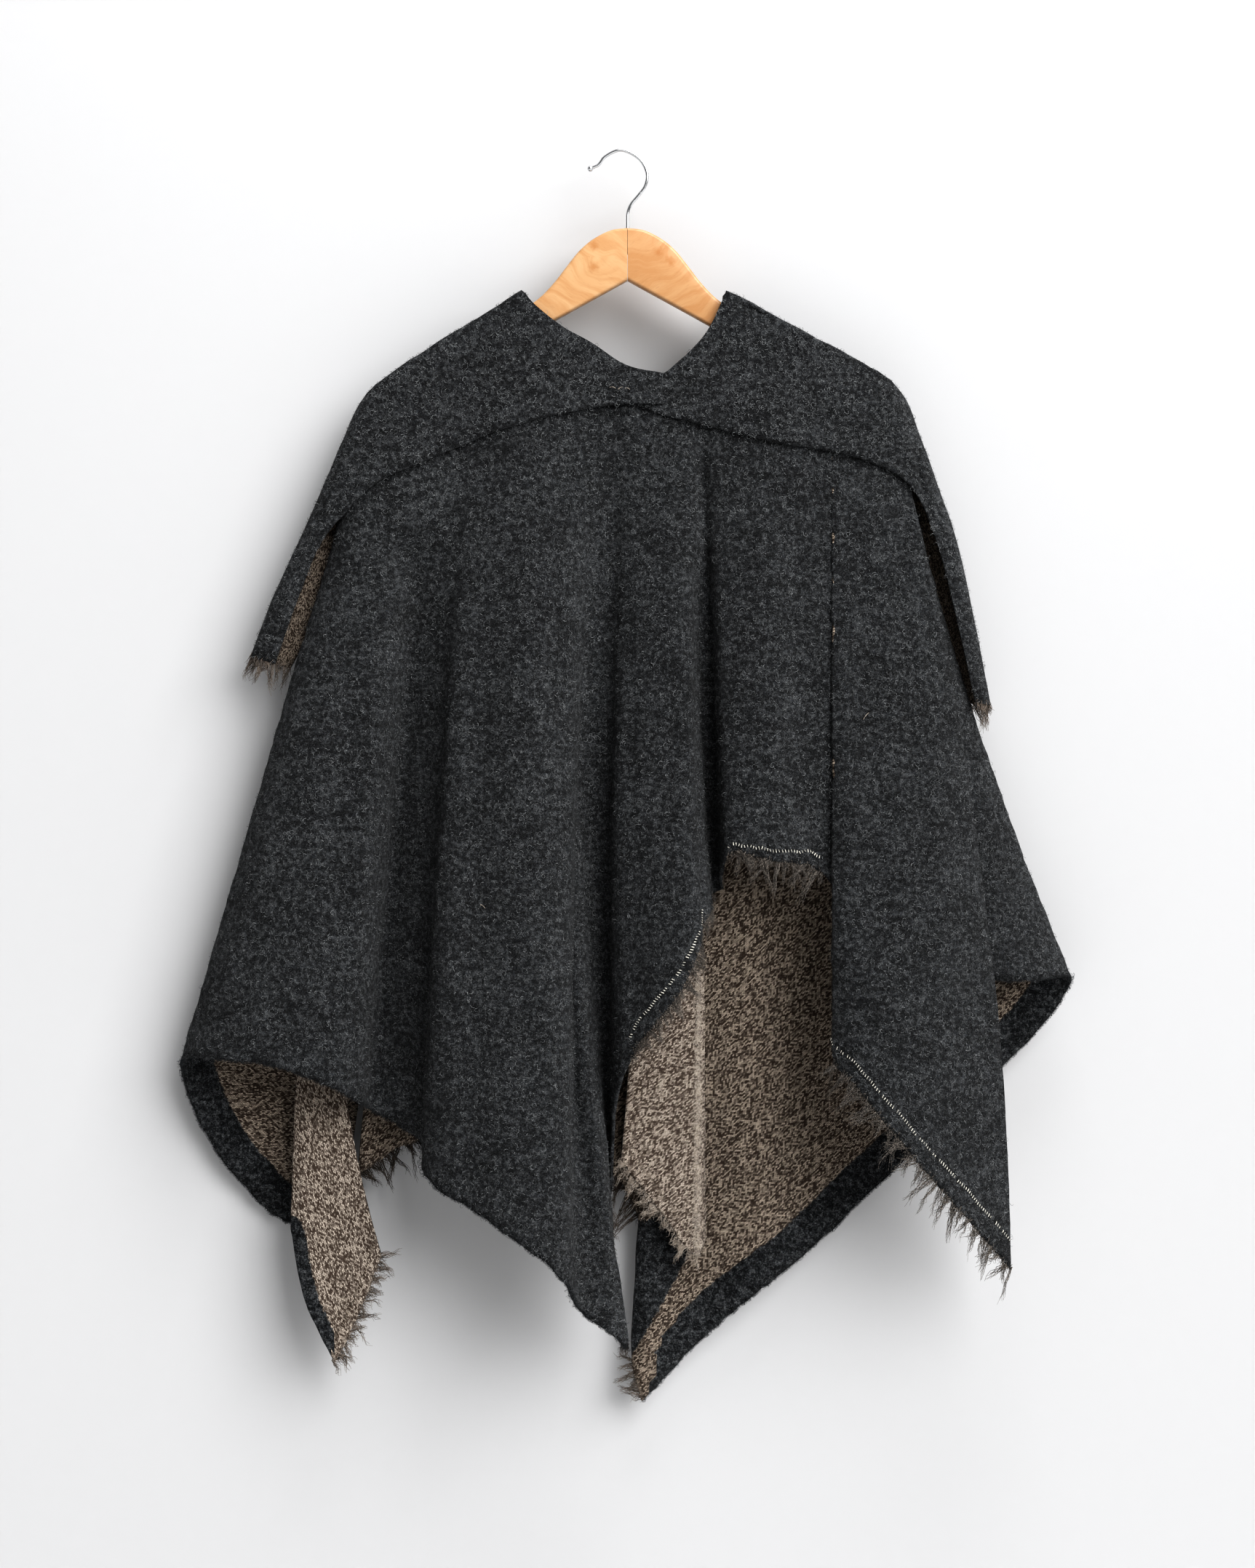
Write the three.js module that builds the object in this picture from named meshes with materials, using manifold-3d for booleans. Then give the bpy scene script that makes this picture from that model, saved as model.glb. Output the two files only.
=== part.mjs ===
// Wrap poncho in thick two-faced wool cloth, hanging on a wooden hanger with a wire hook.
// Millimetres, +Z up, the front faces -Y. The origin is the inner top of the hook, where it is held.
import * as THREE from 'three';
import { mergeVertices } from 'three/addons/utils/BufferGeometryUtils.js';
import Module from 'manifold-3d';

const wasm = await Module();
wasm.setup();

// Driving dimensions of the cloth
const CLOTH = {
  wall: 3, // thickness of the two-faced bouclé
  gap: 0.4, // clearance between pieces that touch
  growth: 1.2, // how the folds deepen from the shoulder to the hem
  rowsDown: 11, // steps from the top edge to the hem
  cellsPerFold: 3, // steps from one fold line to the next
};

// Driving dimensions of the raw, frayed ends
const FRINGE = {
  gap: 0.7, // from the cloth's edge to the strip
  stripDrop: 5, // depth of the woven strip that carries the locks
  root: 4.2, // width of a lock at its root
  flatness: 0.6, // thickness of a lock over its width
  spacing: 7.6, // from lock to lock
  unevenness: 0.3, // of the spacing
  sink: 1.6, // how far a root is sunk into its strip
  shortest: 13,
  longest: 24,
  straight: 0.4, // fraction of a lock before it bends
  bendWidth: 0.8, // width at the bend over the width at the root
  onward: 0.75, // direction past the bend: on from the cloth, down, along the edge, off the face
  droop: 0.35,
  sideLean: 0.45,
  faceLean: 0.2,
};

// Driving dimensions of the hanger
const HANGER = {
  centreX: 5,
  thickness: 12,
  bevel: 2.2,
  jointGap: 0.3,
  stemHoleRadius: 1.9,
  stemHoleDepth: 24,
  stemShort: 2, // from the end of the stem to the bottom of its hole
  wireRadius: 1.4,
  ballRadius: 2.6,
};

// Turns rows of values into records with the column names
function table(columns, rows) {
  return rows.map((row) => Object.fromEntries(columns.map((name, i) => [name, row[i]])));
}

// Each fold line runs straight down from the shoulder to the hem and bows sideways by `bow`.
// `turn` is 1 where the hem has a sharp corner.
const FOLD = ['name', 'topX', 'topY', 'topZ', 'hemX', 'hemY', 'hemZ', 'bow', 'turn'];

// Front cloth, from its raw end at the front right, round the left side, to the back left
const FRONT = table(FOLD, [
  ['right panel edge', 226, -11.3, -214, 325, -48, -944, 24, 0],
  ['right panel crest', 205, -11.3, -202, 252, -74, -860, 13, 0],
  ['right panel inner', 189, -11.3, -193, 194, -70, -789, 0, 0],
  ['pleat turn', 180, -11.3, -189, 177, -58, -768, 0, 0],
  ['pleat back', 175, -11.2, -187, 197, -46, -680, 0, 0],
  ['middle right', 168, -11.0, -185, 168, -37, -613, 0, 0],
  ['middle crest', 132, -9.5, -167, 127, -45, -603, 0, 0],
  ['middle left', 76, -8.5, -190, 91, -38, -597, 0, 0],
  ['valley 3', 67, -8.0, -194, 80, -6, -632, 0, 0],
  ['panel 3 right', 58, -8.0, -199, 73, -44, -657, -4, 0],
  ['panel 3 crest', 36, -8.5, -204, 50, -62, -710, 0, 0],
  ['panel 3 left', 12, -8.5, -204, 9, -46, -769, 0, 0],
  ['valley 2', -1, -8.0, -198, -9, -10, -908, -7, 0],
  ['front corner', -14, -8.0, -193, 2, -60, -1010, -24, 1],
  ['ridge 2 crest', -55, -8.5, -178, -59, -92, -936, -7, 0],
  ['ridge 2 left', -98, -8.5, -166, -118, -76, -895, 0, 0],
  ['valley 1 right', -127, -8.0, -174, -160, -46, -866, 5, 0],
  ['valley 1', -138, -8.0, -180, -177, -30, -835, 5, 0],
  ['left field inner', -158, -8.0, -192, -224, -43, -803, 3, 0],
  ['left field', -181, -8.0, -205, -284, -46, -777, 0, 0],
  ['left field outer', -202, -7.2, -219, -341, -34, -771, 0, 0],
  ['left side fold', -214, 0.5, -227, -374, -2, -774, 0, 0],
  ['back left outer', -202, 8.8, -220, -364, 21, -827, 0, 0],
  ['back left', -186, 11.3, -208, -329, 30, -881, 0, 0],
  ['back left low', -166, 11.3, -195, -284, 35, -918, 0, 0],
  ['back left end', -142, 11.3, -181, -238, 34, -896, 0, 0],
]);

// Back cloth, from its end under the front right panel, round the right side, to the back left
const BACK = table(FOLD, [
  ['front right end', 195, -7.9, -203, 207, -26, -660, 0, 0],
  ['front right inner', 211, -7.9, -211, 277, -26, -700, 0, 0],
  ['front right', 222, -7.9, -219, 350, -20, -705, -11, 0],
  ['right side fold', 232, 0, -227, 382, 0, -703, -13, 0],
  ['back right outer', 222, 6.6, -219, 370, 18, -735, -8, 0],
  ['back right', 205, 7.9, -206, 299, 27, -810, 0, 0],
  ['back valley 1', 173, 7.9, -190, 227, 16, -876, 0, 0],
  ['back ridge 1', 129, 7.9, -169, 167, 28, -935, 0, 0],
  ['back valley 2', 84, 7.9, -184, 113, 15, -977, 0, 0],
  ['back ridge 2', 60, 7.9, -194, 66, 24, -1019, 0, 0],
  ['back corner', 42, 8.2, -202, 17, 14, -1067, 0, 1],
  ['corner low', 34, 8.1, -203, 9, 17, -1034, 8, 0],
  ['corner turn', 24, 7.9, -204, 14, 23, -912, 0, 0],
  ['back valley 3', -15, 7.9, -196, -22, 13, -861, 0, 0],
  ['back ridge 3', -62, 7.9, -178, -76, 26, -861, 0, 0],
  ['back valley 4', -102, 7.9, -168, -129, 13, -842, 0, 0],
  ['back ridge 4', -136, 7.9, -184, -183, 24, -848, 0, 0],
  ['back left inner', -165, 7.9, -200, -227, 19, -875, 0, 0],
]);

// Lower left corner of the back cloth, which swings forward out of the left side
const TAIL = table(FOLD, [
  ['tail fold', -275, 17.2, -610, -281, -4, -918, 0, 0],
  ['tail band', -268, 16.4, -600, -268, -13, -978, 0, 0],
  ['tail tip', -257, 16.0, -590, -243, -15, -1030, 0, 1],
  ['tail frayed side', -247, 15.6, -590, -228, -12, -1000, -6, 0],
  ['tail right edge', -240, 15.2, -590, -204, -5, -940, -18, 0],
]);

// End of the back cloth that is pleated forward inside the centre opening
const PLEAT = table(FOLD, [
  ['pleat return', 70, 13.0, -702, 71, 17.8, -930, 0, 0],
  ['pleat ridge', 65, 10.4, -698, 63, 5, -942, 0, 0],
  ['pleat middle', 38, 7.2, -650, 33, 1, -904, 0, 0],
  ['pleat frayed corner', 8, 4.5, -620, -1, -4, -859, 4, 0],
]);

// The cloth over each shoulder: its neck edge or shoulder line, then its lower front edge.
// `lift` carries one layer over the other at the centre, `backReach` lengthens the back layer.
const SHOULDER = ['name', 'x', 'z', 'lowX', 'lowZ', 'lift', 'backReach'];
const SHOULDER_LEFT = table(SHOULDER, [
  ['centre', 35, -191, 35, -217, 3.6, 1.0],
  ['overlap', 4, -184, 0, -217, 3.6, 1.1],
  ['neck 1', -25, -165, -40, -223, 0, 1.2],
  ['neck 2', -48, -152, -68, -229, 0, 1.25],
  ['neck 3', -67, -138, -92, -236, 0, 1.3],
  ['neck corner', -85, -121, -112, -242, 0, 1.3],
  ['shoulder 1', -121, -144, -135, -252, 0, 1.3],
  ['shoulder 2', -161, -168, -155, -260, 0, 1.35],
  ['shoulder 3', -195, -191, -178, -270, 0, 1.4],
  ['shoulder end', -219, -211, -198, -278, 0, 1.5],
  ['upper arm 1', -236, -246, -213, -288, 0, 1.6],
  ['upper arm 2', -253, -286, -229, -303, 0, 1.8],
  ['upper arm 3', -272, -329, -254, -333, 0, 2.2],
  ['upper arm 4', -295, -379, -275, -383, 0, 2.0],
  ['frayed end', -315, -431, -294, -437, 0, 1.5],
]);
const SHOULDER_RIGHT = table(SHOULDER, [
  ['centre', 14, -189, 14, -217, 0, 1.0],
  ['neck bottom', 32, -192, 35, -226, 0, 1.1],
  ['neck 1', 51, -178, 60, -232, 0, 1.2],
  ['neck 2', 67, -162, 82, -238, 0, 1.25],
  ['neck 3', 77, -147, 101, -243, 0, 1.3],
  ['neck corner', 89, -121, 122, -248, 0, 1.3],
  ['shoulder 1', 122, -138, 142, -252, 0, 1.3],
  ['shoulder 2', 165, -162, 165, -255, 0, 1.35],
  ['shoulder 3', 205, -183, 190, -260, 0, 1.4],
  ['shoulder end', 237, -206, 214, -268, 0, 1.5],
  ['upper arm 1', 254, -246, 233, -277, 0, 1.6],
  ['upper arm 2', 267, -282, 249, -293, 0, 1.8],
  ['upper arm 3', 284, -332, 267, -333, 0, 2.0],
  ['upper arm 4', 299, -399, 284, -399, 0, 2.0],
  ['frayed end', 313, -472, 300, -470, 0, 1.6],
]);

// Half of the hanger's outline from the mitre: top line, rounded end, then the underside
const ARM_TOP = [[0, -65.6], [-14, -67.5], [-30, -75.6], [-41, -85], [-51, -97.3], [-62, -111.6],
  [-76, -126], [-115, -151.5], [-165, -178.5], [-200, -197.5], [-214, -206]];
const ARM_END = [[-218.5, -212], [-213, -222]];
const ARM_BOTTOM = [[-165, -201], [-115, -174], [-68, -147.5], [0, -110]];

// Centre line of the hook, from its ball tip to the bottom of its stem
const HOOK_LINE = [[-26.7, -14.4], [-19.8, -11.2], [-14.5, -4.6], [-1, 1.4], [12, -3.6], [19.2, -11.8],
  [21.8, -20.4], [19.8, -29.8], [14.2, -37.4], [8, -45], [5.4, -51.5], [5, -60]];

// A point of a fold line at fraction v of its way down
function foldPoint(row, v) {
  const sideways = row.bow * 4 * v * (1 - v);
  const x = row.topX + (row.hemX - row.topX) * v + sideways;
  const y = row.topY + (row.hemY - row.topY) * v ** CLOTH.growth;
  const z = row.topZ + (row.hemZ - row.topZ) * v;
  return new THREE.Vector3(x, y, z);
}

// A smooth line through points, broken at the rows that turn sharply
function smoothLine(points, turns, cells) {
  const line = [points[0]];
  let start = 0;
  for (let i = 1; i < points.length; i += 1) {
    const last = i === points.length - 1;
    if (!turns[i] && !last) continue;
    const run = points.slice(start, i + 1);
    const steps = (run.length - 1) * cells;
    const curve = run.length > 2 ? new THREE.CatmullRomCurve3(run) : new THREE.LineCurve3(...run);
    for (let k = 1; k <= steps; k += 1) line.push(curve.getPoint(k / steps));
    start = i;
  }
  return line;
}

// The middle surface of a hanging cloth: one smooth line for each step down
function drape(rows, rowsDown = CLOTH.rowsDown, cells = CLOTH.cellsPerFold) {
  const turns = rows.map((row) => row.turn);
  const grid = [];
  for (let j = 0; j <= rowsDown; j += 1) {
    grid.push(smoothLine(rows.map((row) => foldPoint(row, j / rowsDown)), turns, cells));
  }
  return grid;
}

// Gives a middle surface its wall: grids of points share the points that they have in common
function clothGeometry(grids, wall = CLOTH.wall) {
  const points = [];
  const index = new Map();
  const numberOf = (point) => {
    const key = [point.x, point.y, point.z].map((n) => Math.round(n * 1000)).join();
    if (!index.has(key)) {
      index.set(key, points.length);
      points.push(point);
    }
    return index.get(key);
  };
  const faces = [];
  for (const grid of grids) {
    for (let j = 0; j + 1 < grid.length; j += 1) {
      for (let i = 0; i + 1 < grid[j].length; i += 1) {
        const [a, b] = [numberOf(grid[j][i]), numberOf(grid[j][i + 1])];
        const [c, d] = [numberOf(grid[j + 1][i + 1]), numberOf(grid[j + 1][i])];
        faces.push([a, b, c], [a, c, d]);
      }
    }
  }
  const normals = points.map(() => new THREE.Vector3());
  for (const [a, b, c] of faces) {
    const side = points[b].clone().sub(points[a]);
    const normal = side.cross(points[c].clone().sub(points[a]));
    for (const corner of [a, b, c]) normals[corner].add(normal);
  }
  const count = points.length;
  for (const normal of normals) normal.normalize();
  const offset = (amount) => points.map((p, i) => p.clone().addScaledVector(normals[i], amount));
  const vertices = [...offset(wall / 2), ...offset(-wall / 2)];
  const triangles = [];
  const edges = new Map();
  for (const [a, b, c] of faces) {
    triangles.push([a, b, c], [count + a, count + c, count + b]);
    for (const [from, to] of [[a, b], [b, c], [c, a]]) {
      if (!edges.delete(`${to},${from}`)) edges.set(`${from},${to}`, [from, to]);
    }
  }
  for (const [from, to] of edges.values()) {
    triangles.push([from, count + from, to], [to, count + from, count + to]);
  }
  return closedGeometry(vertices, triangles);
}

// A geometry from vertices and triangles, turned so that its faces point out
function closedGeometry(vertices, triangles) {
  let volume = 0;
  for (const [a, b, c] of triangles) {
    volume += vertices[a].dot(vertices[b].clone().cross(vertices[c]));
  }
  const order = volume > 0 ? triangles : triangles.map(([a, b, c]) => [a, c, b]);
  const geometry = new THREE.BufferGeometry();
  const positions = vertices.flatMap((v) => [v.x, v.y, v.z]);
  geometry.setAttribute('position', new THREE.Float32BufferAttribute(positions, 3));
  geometry.setIndex(order.flat());
  return geometry;
}

function toManifold(geometry) {
  const bare = geometry.clone();
  bare.deleteAttribute('normal');
  bare.deleteAttribute('uv');
  const merged = mergeVertices(bare, 1e-4);
  const vertProperties = new Float32Array(merged.attributes.position.array);
  const triVerts = new Uint32Array(merged.index.array);
  return new wasm.Manifold(new wasm.Mesh({ numProp: 3, vertProperties, triVerts }));
}

function fromManifold(solid) {
  const mesh = solid.getMesh();
  const geometry = new THREE.BufferGeometry();
  geometry.setAttribute('position', new THREE.Float32BufferAttribute(mesh.vertProperties, 3));
  geometry.setIndex(new THREE.Uint32BufferAttribute(mesh.triVerts, 1));
  return geometry;
}

// The part of a line of (x, y, z) points that is nearest the front or the back at a place x
function outermost(line, x, side, reach) {
  let found = 0;
  for (const point of line) {
    if (Math.abs(point.x - x) < reach && point.y * side > found) found = point.y * side;
  }
  return found;
}

const LEVEL_STEP = 4; // height between the levels at which the hanging cloth is measured
const LEVEL_CELLS = 6; // steps from one fold line to the next in such a level
const depthLines = new Map();

// How far the hanging cloth stands out from the middle plane within `reach` of (x, z)
function bodyDepth(x, z, side, reach) {
  const level = Math.round(z / LEVEL_STEP) * LEVEL_STEP;
  if (!depthLines.has(level)) {
    const lines = [FRONT, BACK].map((rows) => {
      const points = rows.map((row) => {
        const v = (level - row.topZ) / (row.hemZ - row.topZ);
        return foldPoint(row, THREE.MathUtils.clamp(v, 0, 1));
      });
      return smoothLine(points, rows.map(() => 0), LEVEL_CELLS);
    });
    depthLines.set(level, lines.flat());
  }
  return outermost(depthLines.get(level), x, side, reach);
}

// A line through the rows of a shoulder table, for one pair of its columns
function shoulderLine(rows, columnX, columnZ, cells) {
  const points = rows.map((row) => new THREE.Vector3(row[columnX], 0, row[columnZ]));
  return smoothLine(points, rows.map((row) => row.name === 'neck corner'), cells);
}

const SHOULDER_CELLS = 2; // steps from one row of a shoulder table to the next
const SHOULDER_ROLL = 11; // width of the roll over the hanger, from the shoulder line down
const SHOULDER_ROLL_SHARE = 0.55; // the most that the roll takes of a layer's length
const SHOULDER_STEPS = [0, 1.2, 4.5, SHOULDER_ROLL]; // distances from the shoulder line, in the roll
const SHOULDER_LOWER = [0.35, 0.68, 1]; // fractions of the rest of the way to the lower edge
const SHOULDER_HALF = 12; // half depth where the cloth hangs free of the layers below
const SHOULDER_BACK_LOOSE = 0.9; // how much looser the back layer hangs
const SHOULDER_NEAR = 4; // how near to a place the cloth below is followed closely
const SHOULDER_WIDE = 9; // how far round a place the cloth below sets the depth

// The cloth over one shoulder: a front and a back layer that meet along the shoulder line
function shoulderGrids(rows) {
  const cells = SHOULDER_CELLS;
  const upper = shoulderLine(rows, 'x', 'z', cells);
  const lower = shoulderLine(rows, 'lowX', 'lowZ', cells);
  const corner = rows.findIndex((row) => row.name === 'neck corner') * cells;
  const ridge = upper.slice(corner);
  const blend = (i, column) => {
    const row = Math.min(Math.floor(i / cells), rows.length - 2);
    return THREE.MathUtils.lerp(rows[row][column], rows[row + 1][column], i / cells - row);
  };
  const ridgeDistance = (x, z) => {
    const segment = new THREE.Line3();
    const place = new THREE.Vector3(x, 0, z);
    let nearest = Infinity;
    for (let i = 0; i + 1 < ridge.length; i += 1) {
      segment.set(ridge[i], ridge[i + 1]);
      const onLine = segment.closestPointToPoint(place, true, new THREE.Vector3());
      nearest = Math.min(nearest, onLine.distanceTo(place));
    }
    return nearest;
  };
  const column = (i, side) => {
    const reach = side < 0 ? 1 : blend(i, 'backReach');
    const low = upper[i].clone().lerp(lower[i], reach);
    const length = upper[i].distanceTo(low);
    const roll = Math.min(SHOULDER_ROLL, length * SHOULDER_ROLL_SHARE);
    const distances = SHOULDER_STEPS.map((d) => d * roll / SHOULDER_ROLL);
    for (const part of SHOULDER_LOWER) distances.push(roll + (length - roll) * part);
    return distances.map((distance) => {
      const point = upper[i].clone().lerp(low, distance / length);
      const clear = CLOTH.wall + CLOTH.gap + (side > 0 ? SHOULDER_BACK_LOOSE : 0);
      const wide = bodyDepth(point.x, point.z, side, SHOULDER_WIDE) + clear;
      const below = bodyDepth(point.x, point.z, side, SHOULDER_NEAR);
      const half = Math.max(wide, SHOULDER_HALF) + blend(i, 'lift');
      const near = Math.min(ridgeDistance(point.x, point.z) / SHOULDER_ROLL, 1);
      const rolled = half * Math.sqrt(1 - (1 - near) ** 2);
      point.y = side * Math.max(rolled, below > 0 && near > 0 ? below + clear : 0);
      return point;
    });
  };
  return [-1, 1].map((side) => {
    const columns = upper.map((_, i) => column(i, side));
    return side < 0 ? columns : columns.map((line) => [...line].reverse());
  });
}

// A row of frayed locks on a narrow strip. `edge` holds the cloth's edge points, `inner` the points
// next to them inside the cloth. The strip runs on from the cloth, square to its edge.
function fringeGeometry(edge, inner, seed) {
  const down = edge.map((point, i) => {
    const before = edge[Math.max(i - 1, 0)];
    const after = edge[Math.min(i + 1, edge.length - 1)];
    const tangent = after.clone().sub(before).normalize();
    const onward = point.clone().sub(inner[i]);
    return onward.addScaledVector(tangent, -onward.dot(tangent)).normalize();
  });
  const along = (amount) => edge.map((point, i) => point.clone().addScaledVector(down[i], amount));
  const strip = clothGeometry([[along(FRINGE.gap), along(FRINGE.gap + FRINGE.stripDrop)]]);
  const rootLine = along(FRINGE.gap + FRINGE.stripDrop - FRINGE.sink);
  const roots = new THREE.CurvePath();
  for (let i = 0; i + 1 < rootLine.length; i += 1) {
    roots.add(new THREE.LineCurve3(rootLine[i], rootLine[i + 1]));
  }
  const count = Math.max(2, Math.round(roots.getLength() / FRINGE.spacing));
  let solid = toManifold(strip);
  let state = seed;
  const random = () => {
    state = (state * 16807) % 2147483647;
    return state / 2147483647;
  };
  for (let i = 0; i < count; i += 1) {
    const t = (i + 0.5 + FRINGE.unevenness * (random() - 0.5)) / count;
    const root = roots.getPoint(t);
    const nearest = Math.min(Math.round(t * (down.length - 1)), down.length - 1);
    const size = THREE.MathUtils.lerp(FRINGE.shortest, FRINGE.longest, random());
    const tangent = roots.getTangent(t);
    const normal = new THREE.Vector3().crossVectors(tangent, down[nearest]).normalize();
    const lean = down[nearest].clone().multiplyScalar(FRINGE.onward);
    lean.z -= FRINGE.droop;
    lean.addScaledVector(tangent, FRINGE.sideLean * (random() - 0.5));
    lean.addScaledVector(normal, FRINGE.faceLean * (random() - 0.5)).normalize();
    const lock = lockGeometry(root, down[nearest], lean, tangent, normal, size);
    solid = solid.add(toManifold(lock));
  }
  return fromManifold(solid);
}

// One three-sided lock, which leaves its strip straight and then leans
function lockGeometry(root, down, lean, tangent, normal, size) {
  const bend = root.clone().addScaledVector(down, size * FRINGE.straight);
  const tip = bend.clone().addScaledVector(lean, size * (1 - FRINGE.straight));
  const ring = (centre, width) => [0, 1, 2].map((k) => {
    const angle = (k / 3) * 2 * Math.PI + Math.PI / 2;
    return centre.clone()
      .addScaledVector(tangent, Math.cos(angle) * width / 2)
      .addScaledVector(normal, Math.sin(angle) * width * FRINGE.flatness / 2);
  });
  const vertices = [...ring(root, FRINGE.root), ...ring(bend, FRINGE.root * FRINGE.bendWidth), tip];
  const triangles = [[0, 2, 1]];
  for (let k = 0; k < 3; k += 1) {
    const next = (k + 1) % 3;
    triangles.push([k, next, 3 + next], [k, 3 + next, 3 + k], [3 + k, 3 + next, 6]);
  }
  return closedGeometry(vertices, triangles);
}

// The fringe on the hem of a hanging cloth, between two of its fold lines, `trim` steps shorter
function hemFringe(rows, from, to, seed, trim = 0) {
  const grid = drape(rows);
  const position = (name) => rows.findIndex((row) => row.name === name) * CLOTH.cellsPerFold;
  const cut = (line) => line.slice(position(from) + trim, position(to) + 1);
  return fringeGeometry(cut(grid[grid.length - 1]), cut(grid[grid.length - 2]), seed);
}

// The fringe on the raw end of a shoulder piece
function endFringe(grids, seed) {
  const across = (step) => {
    const [front, back] = grids.map((grid) => grid[grid.length - step]);
    return [...front].reverse().concat([...back].reverse().slice(1));
  };
  return fringeGeometry(across(1), across(2), seed);
}

const ARM_STEPS = { top: 14, bottom: 5 }; // steps along the two long lines of an arm
const MITRE_CUT = { width: 20, depth: 40, height: 120, z: -90 }; // block taken off past the mitre

// One wooden arm, mirrored for the other side, with half of the stem's hole in its mitre
function armGeometry(side) {
  const corners = (points) => points.map(([x, z]) => new THREE.Vector2(x, z));
  const shape = new THREE.Shape([
    ...new THREE.SplineCurve(corners(ARM_TOP)).getPoints(ARM_STEPS.top),
    ...corners(ARM_END),
    ...new THREE.SplineCurve(corners(ARM_BOTTOM)).getPoints(ARM_STEPS.bottom),
  ]);
  const bevel = HANGER.bevel;
  const geometry = new THREE.ExtrudeGeometry(shape, {
    depth: HANGER.thickness - 2 * bevel,
    bevelEnabled: true,
    bevelThickness: bevel,
    bevelSize: bevel,
    bevelOffset: -bevel,
    bevelSegments: 1,
  });
  geometry.translate(0, 0, bevel - HANGER.thickness / 2);
  geometry.rotateX(Math.PI / 2);
  const mitre = -bevel - HANGER.jointGap / 2;
  const cut = new THREE.BoxGeometry(MITRE_CUT.width, MITRE_CUT.depth, MITRE_CUT.height);
  cut.translate(mitre + MITRE_CUT.width / 2, 0, MITRE_CUT.z);
  const { stemHoleRadius: radius, stemHoleDepth: depth } = HANGER;
  const hole = new THREE.CylinderGeometry(radius, radius, 2 * depth, 12);
  hole.rotateX(Math.PI / 2);
  hole.translate(-bevel, 0, ARM_TOP[0][1]);
  const solid = toManifold(geometry).subtract(toManifold(cut)).subtract(toManifold(hole));
  const arm = fromManifold(solid);
  arm.translate(bevel, 0, 0);
  if (side > 0) {
    arm.scale(-1, 1, 1);
    const index = arm.index.array;
    for (let i = 0; i < index.length; i += 3) [index[i], index[i + 1]] = [index[i + 1], index[i]];
  }
  arm.translate(HANGER.centreX, 0, 0);
  return arm;
}

const WIRE_STEPS = 40; // rings along the wire
const WIRE_QUARTERS = 4; // sides in half a ring
const BALL_SIDES = { around: 8, down: 6 };

// The wire hook with a ball at its tip and a stem that reaches into the wood
function hookGeometry() {
  const points = HOOK_LINE.map(([x, z]) => new THREE.Vector3(x, 0, z));
  const stemTop = ARM_TOP[0][1];
  const stemEnd = stemTop - HANGER.stemHoleDepth + HANGER.stemShort;
  points.push(new THREE.Vector3(HANGER.centreX, 0, (stemEnd + stemTop) / 2));
  points.push(new THREE.Vector3(HANGER.centreX, 0, stemEnd));
  const section = new THREE.Shape();
  section.absarc(0, 0, HANGER.wireRadius, 0, 2 * Math.PI);
  const wire = new THREE.ExtrudeGeometry(section, {
    steps: WIRE_STEPS,
    curveSegments: WIRE_QUARTERS,
    bevelEnabled: false,
    extrudePath: new THREE.CatmullRomCurve3(points),
  });
  const ball = new THREE.SphereGeometry(HANGER.ballRadius, BALL_SIDES.around, BALL_SIDES.down);
  ball.translate(points[0].x, 0, points[0].z);
  return fromManifold(toManifold(wire).add(toManifold(ball)));
}

const material = (name, color, roughness, metalness = 0) => {
  const made = new THREE.MeshStandardMaterial({ color, roughness, metalness });
  made.name = name;
  return made;
};
const wool = material('wool', 0x2f3134, 0.95);
const frayed = material('frayed wool', 0x7a6a5c, 0.95);
const wood = material('varnished wood', 0xe0a765, 0.45);
const chrome = material('chrome', 0xd8dadd, 0.15, 1);

const poncho = new THREE.Group();
function place(name, geometry, finish) {
  const mesh = new THREE.Mesh(geometry, finish);
  mesh.name = name;
  poncho.add(mesh);
}

place('hanger_hook', hookGeometry(), chrome);
place('hanger_arm_left', armGeometry(-1), wood);
place('hanger_arm_right', armGeometry(1), wood);

const shoulderLeft = shoulderGrids(SHOULDER_LEFT);
const shoulderRight = shoulderGrids(SHOULDER_RIGHT);
place('front_cloth', clothGeometry([drape(FRONT)]), wool);
place('back_cloth', clothGeometry([drape(BACK)]), wool);
place('back_cloth_tail', clothGeometry([drape(TAIL)]), wool);
place('back_cloth_pleat', clothGeometry([drape(PLEAT)]), wool);
place('shoulder_cloth_left', clothGeometry(shoulderLeft), wool);
place('shoulder_cloth_right', clothGeometry(shoulderRight), wool);

place('fringe_front_right', hemFringe(FRONT, 'right panel edge', 'pleat turn', 11), frayed);
place('fringe_front_middle', hemFringe(FRONT, 'middle right', 'middle left', 23), frayed);
place('fringe_front_panel', hemFringe(FRONT, 'valley 3', 'panel 3 left', 37, 1), frayed);
place('fringe_front_corner', hemFringe(FRONT, 'valley 2', 'front corner', 41, 1), frayed);
place('fringe_back_end', hemFringe(BACK, 'corner turn', 'back left inner', 53), frayed);
place('fringe_back_corner', hemFringe(BACK, 'back corner', 'corner low', 67), frayed);
place('fringe_back_pleat', hemFringe(PLEAT, 'pleat ridge', 'pleat frayed corner', 71), frayed);
place('fringe_tail', hemFringe(TAIL, 'tail tip', 'tail right edge', 83), frayed);
place('fringe_shoulder_left', endFringe(shoulderLeft, 97), frayed);
place('fringe_shoulder_right', endFringe(shoulderRight, 101), frayed);

export default poncho;
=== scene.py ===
# Wrap poncho in thick two-faced wool cloth, hanging on a varnished wooden hanger.
# Metres, +Z up, the front faces -Y. The origin is the inner top of the hook, where it is held.
import math
import random

import bmesh
import bpy
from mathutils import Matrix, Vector, kdtree, noise


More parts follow.
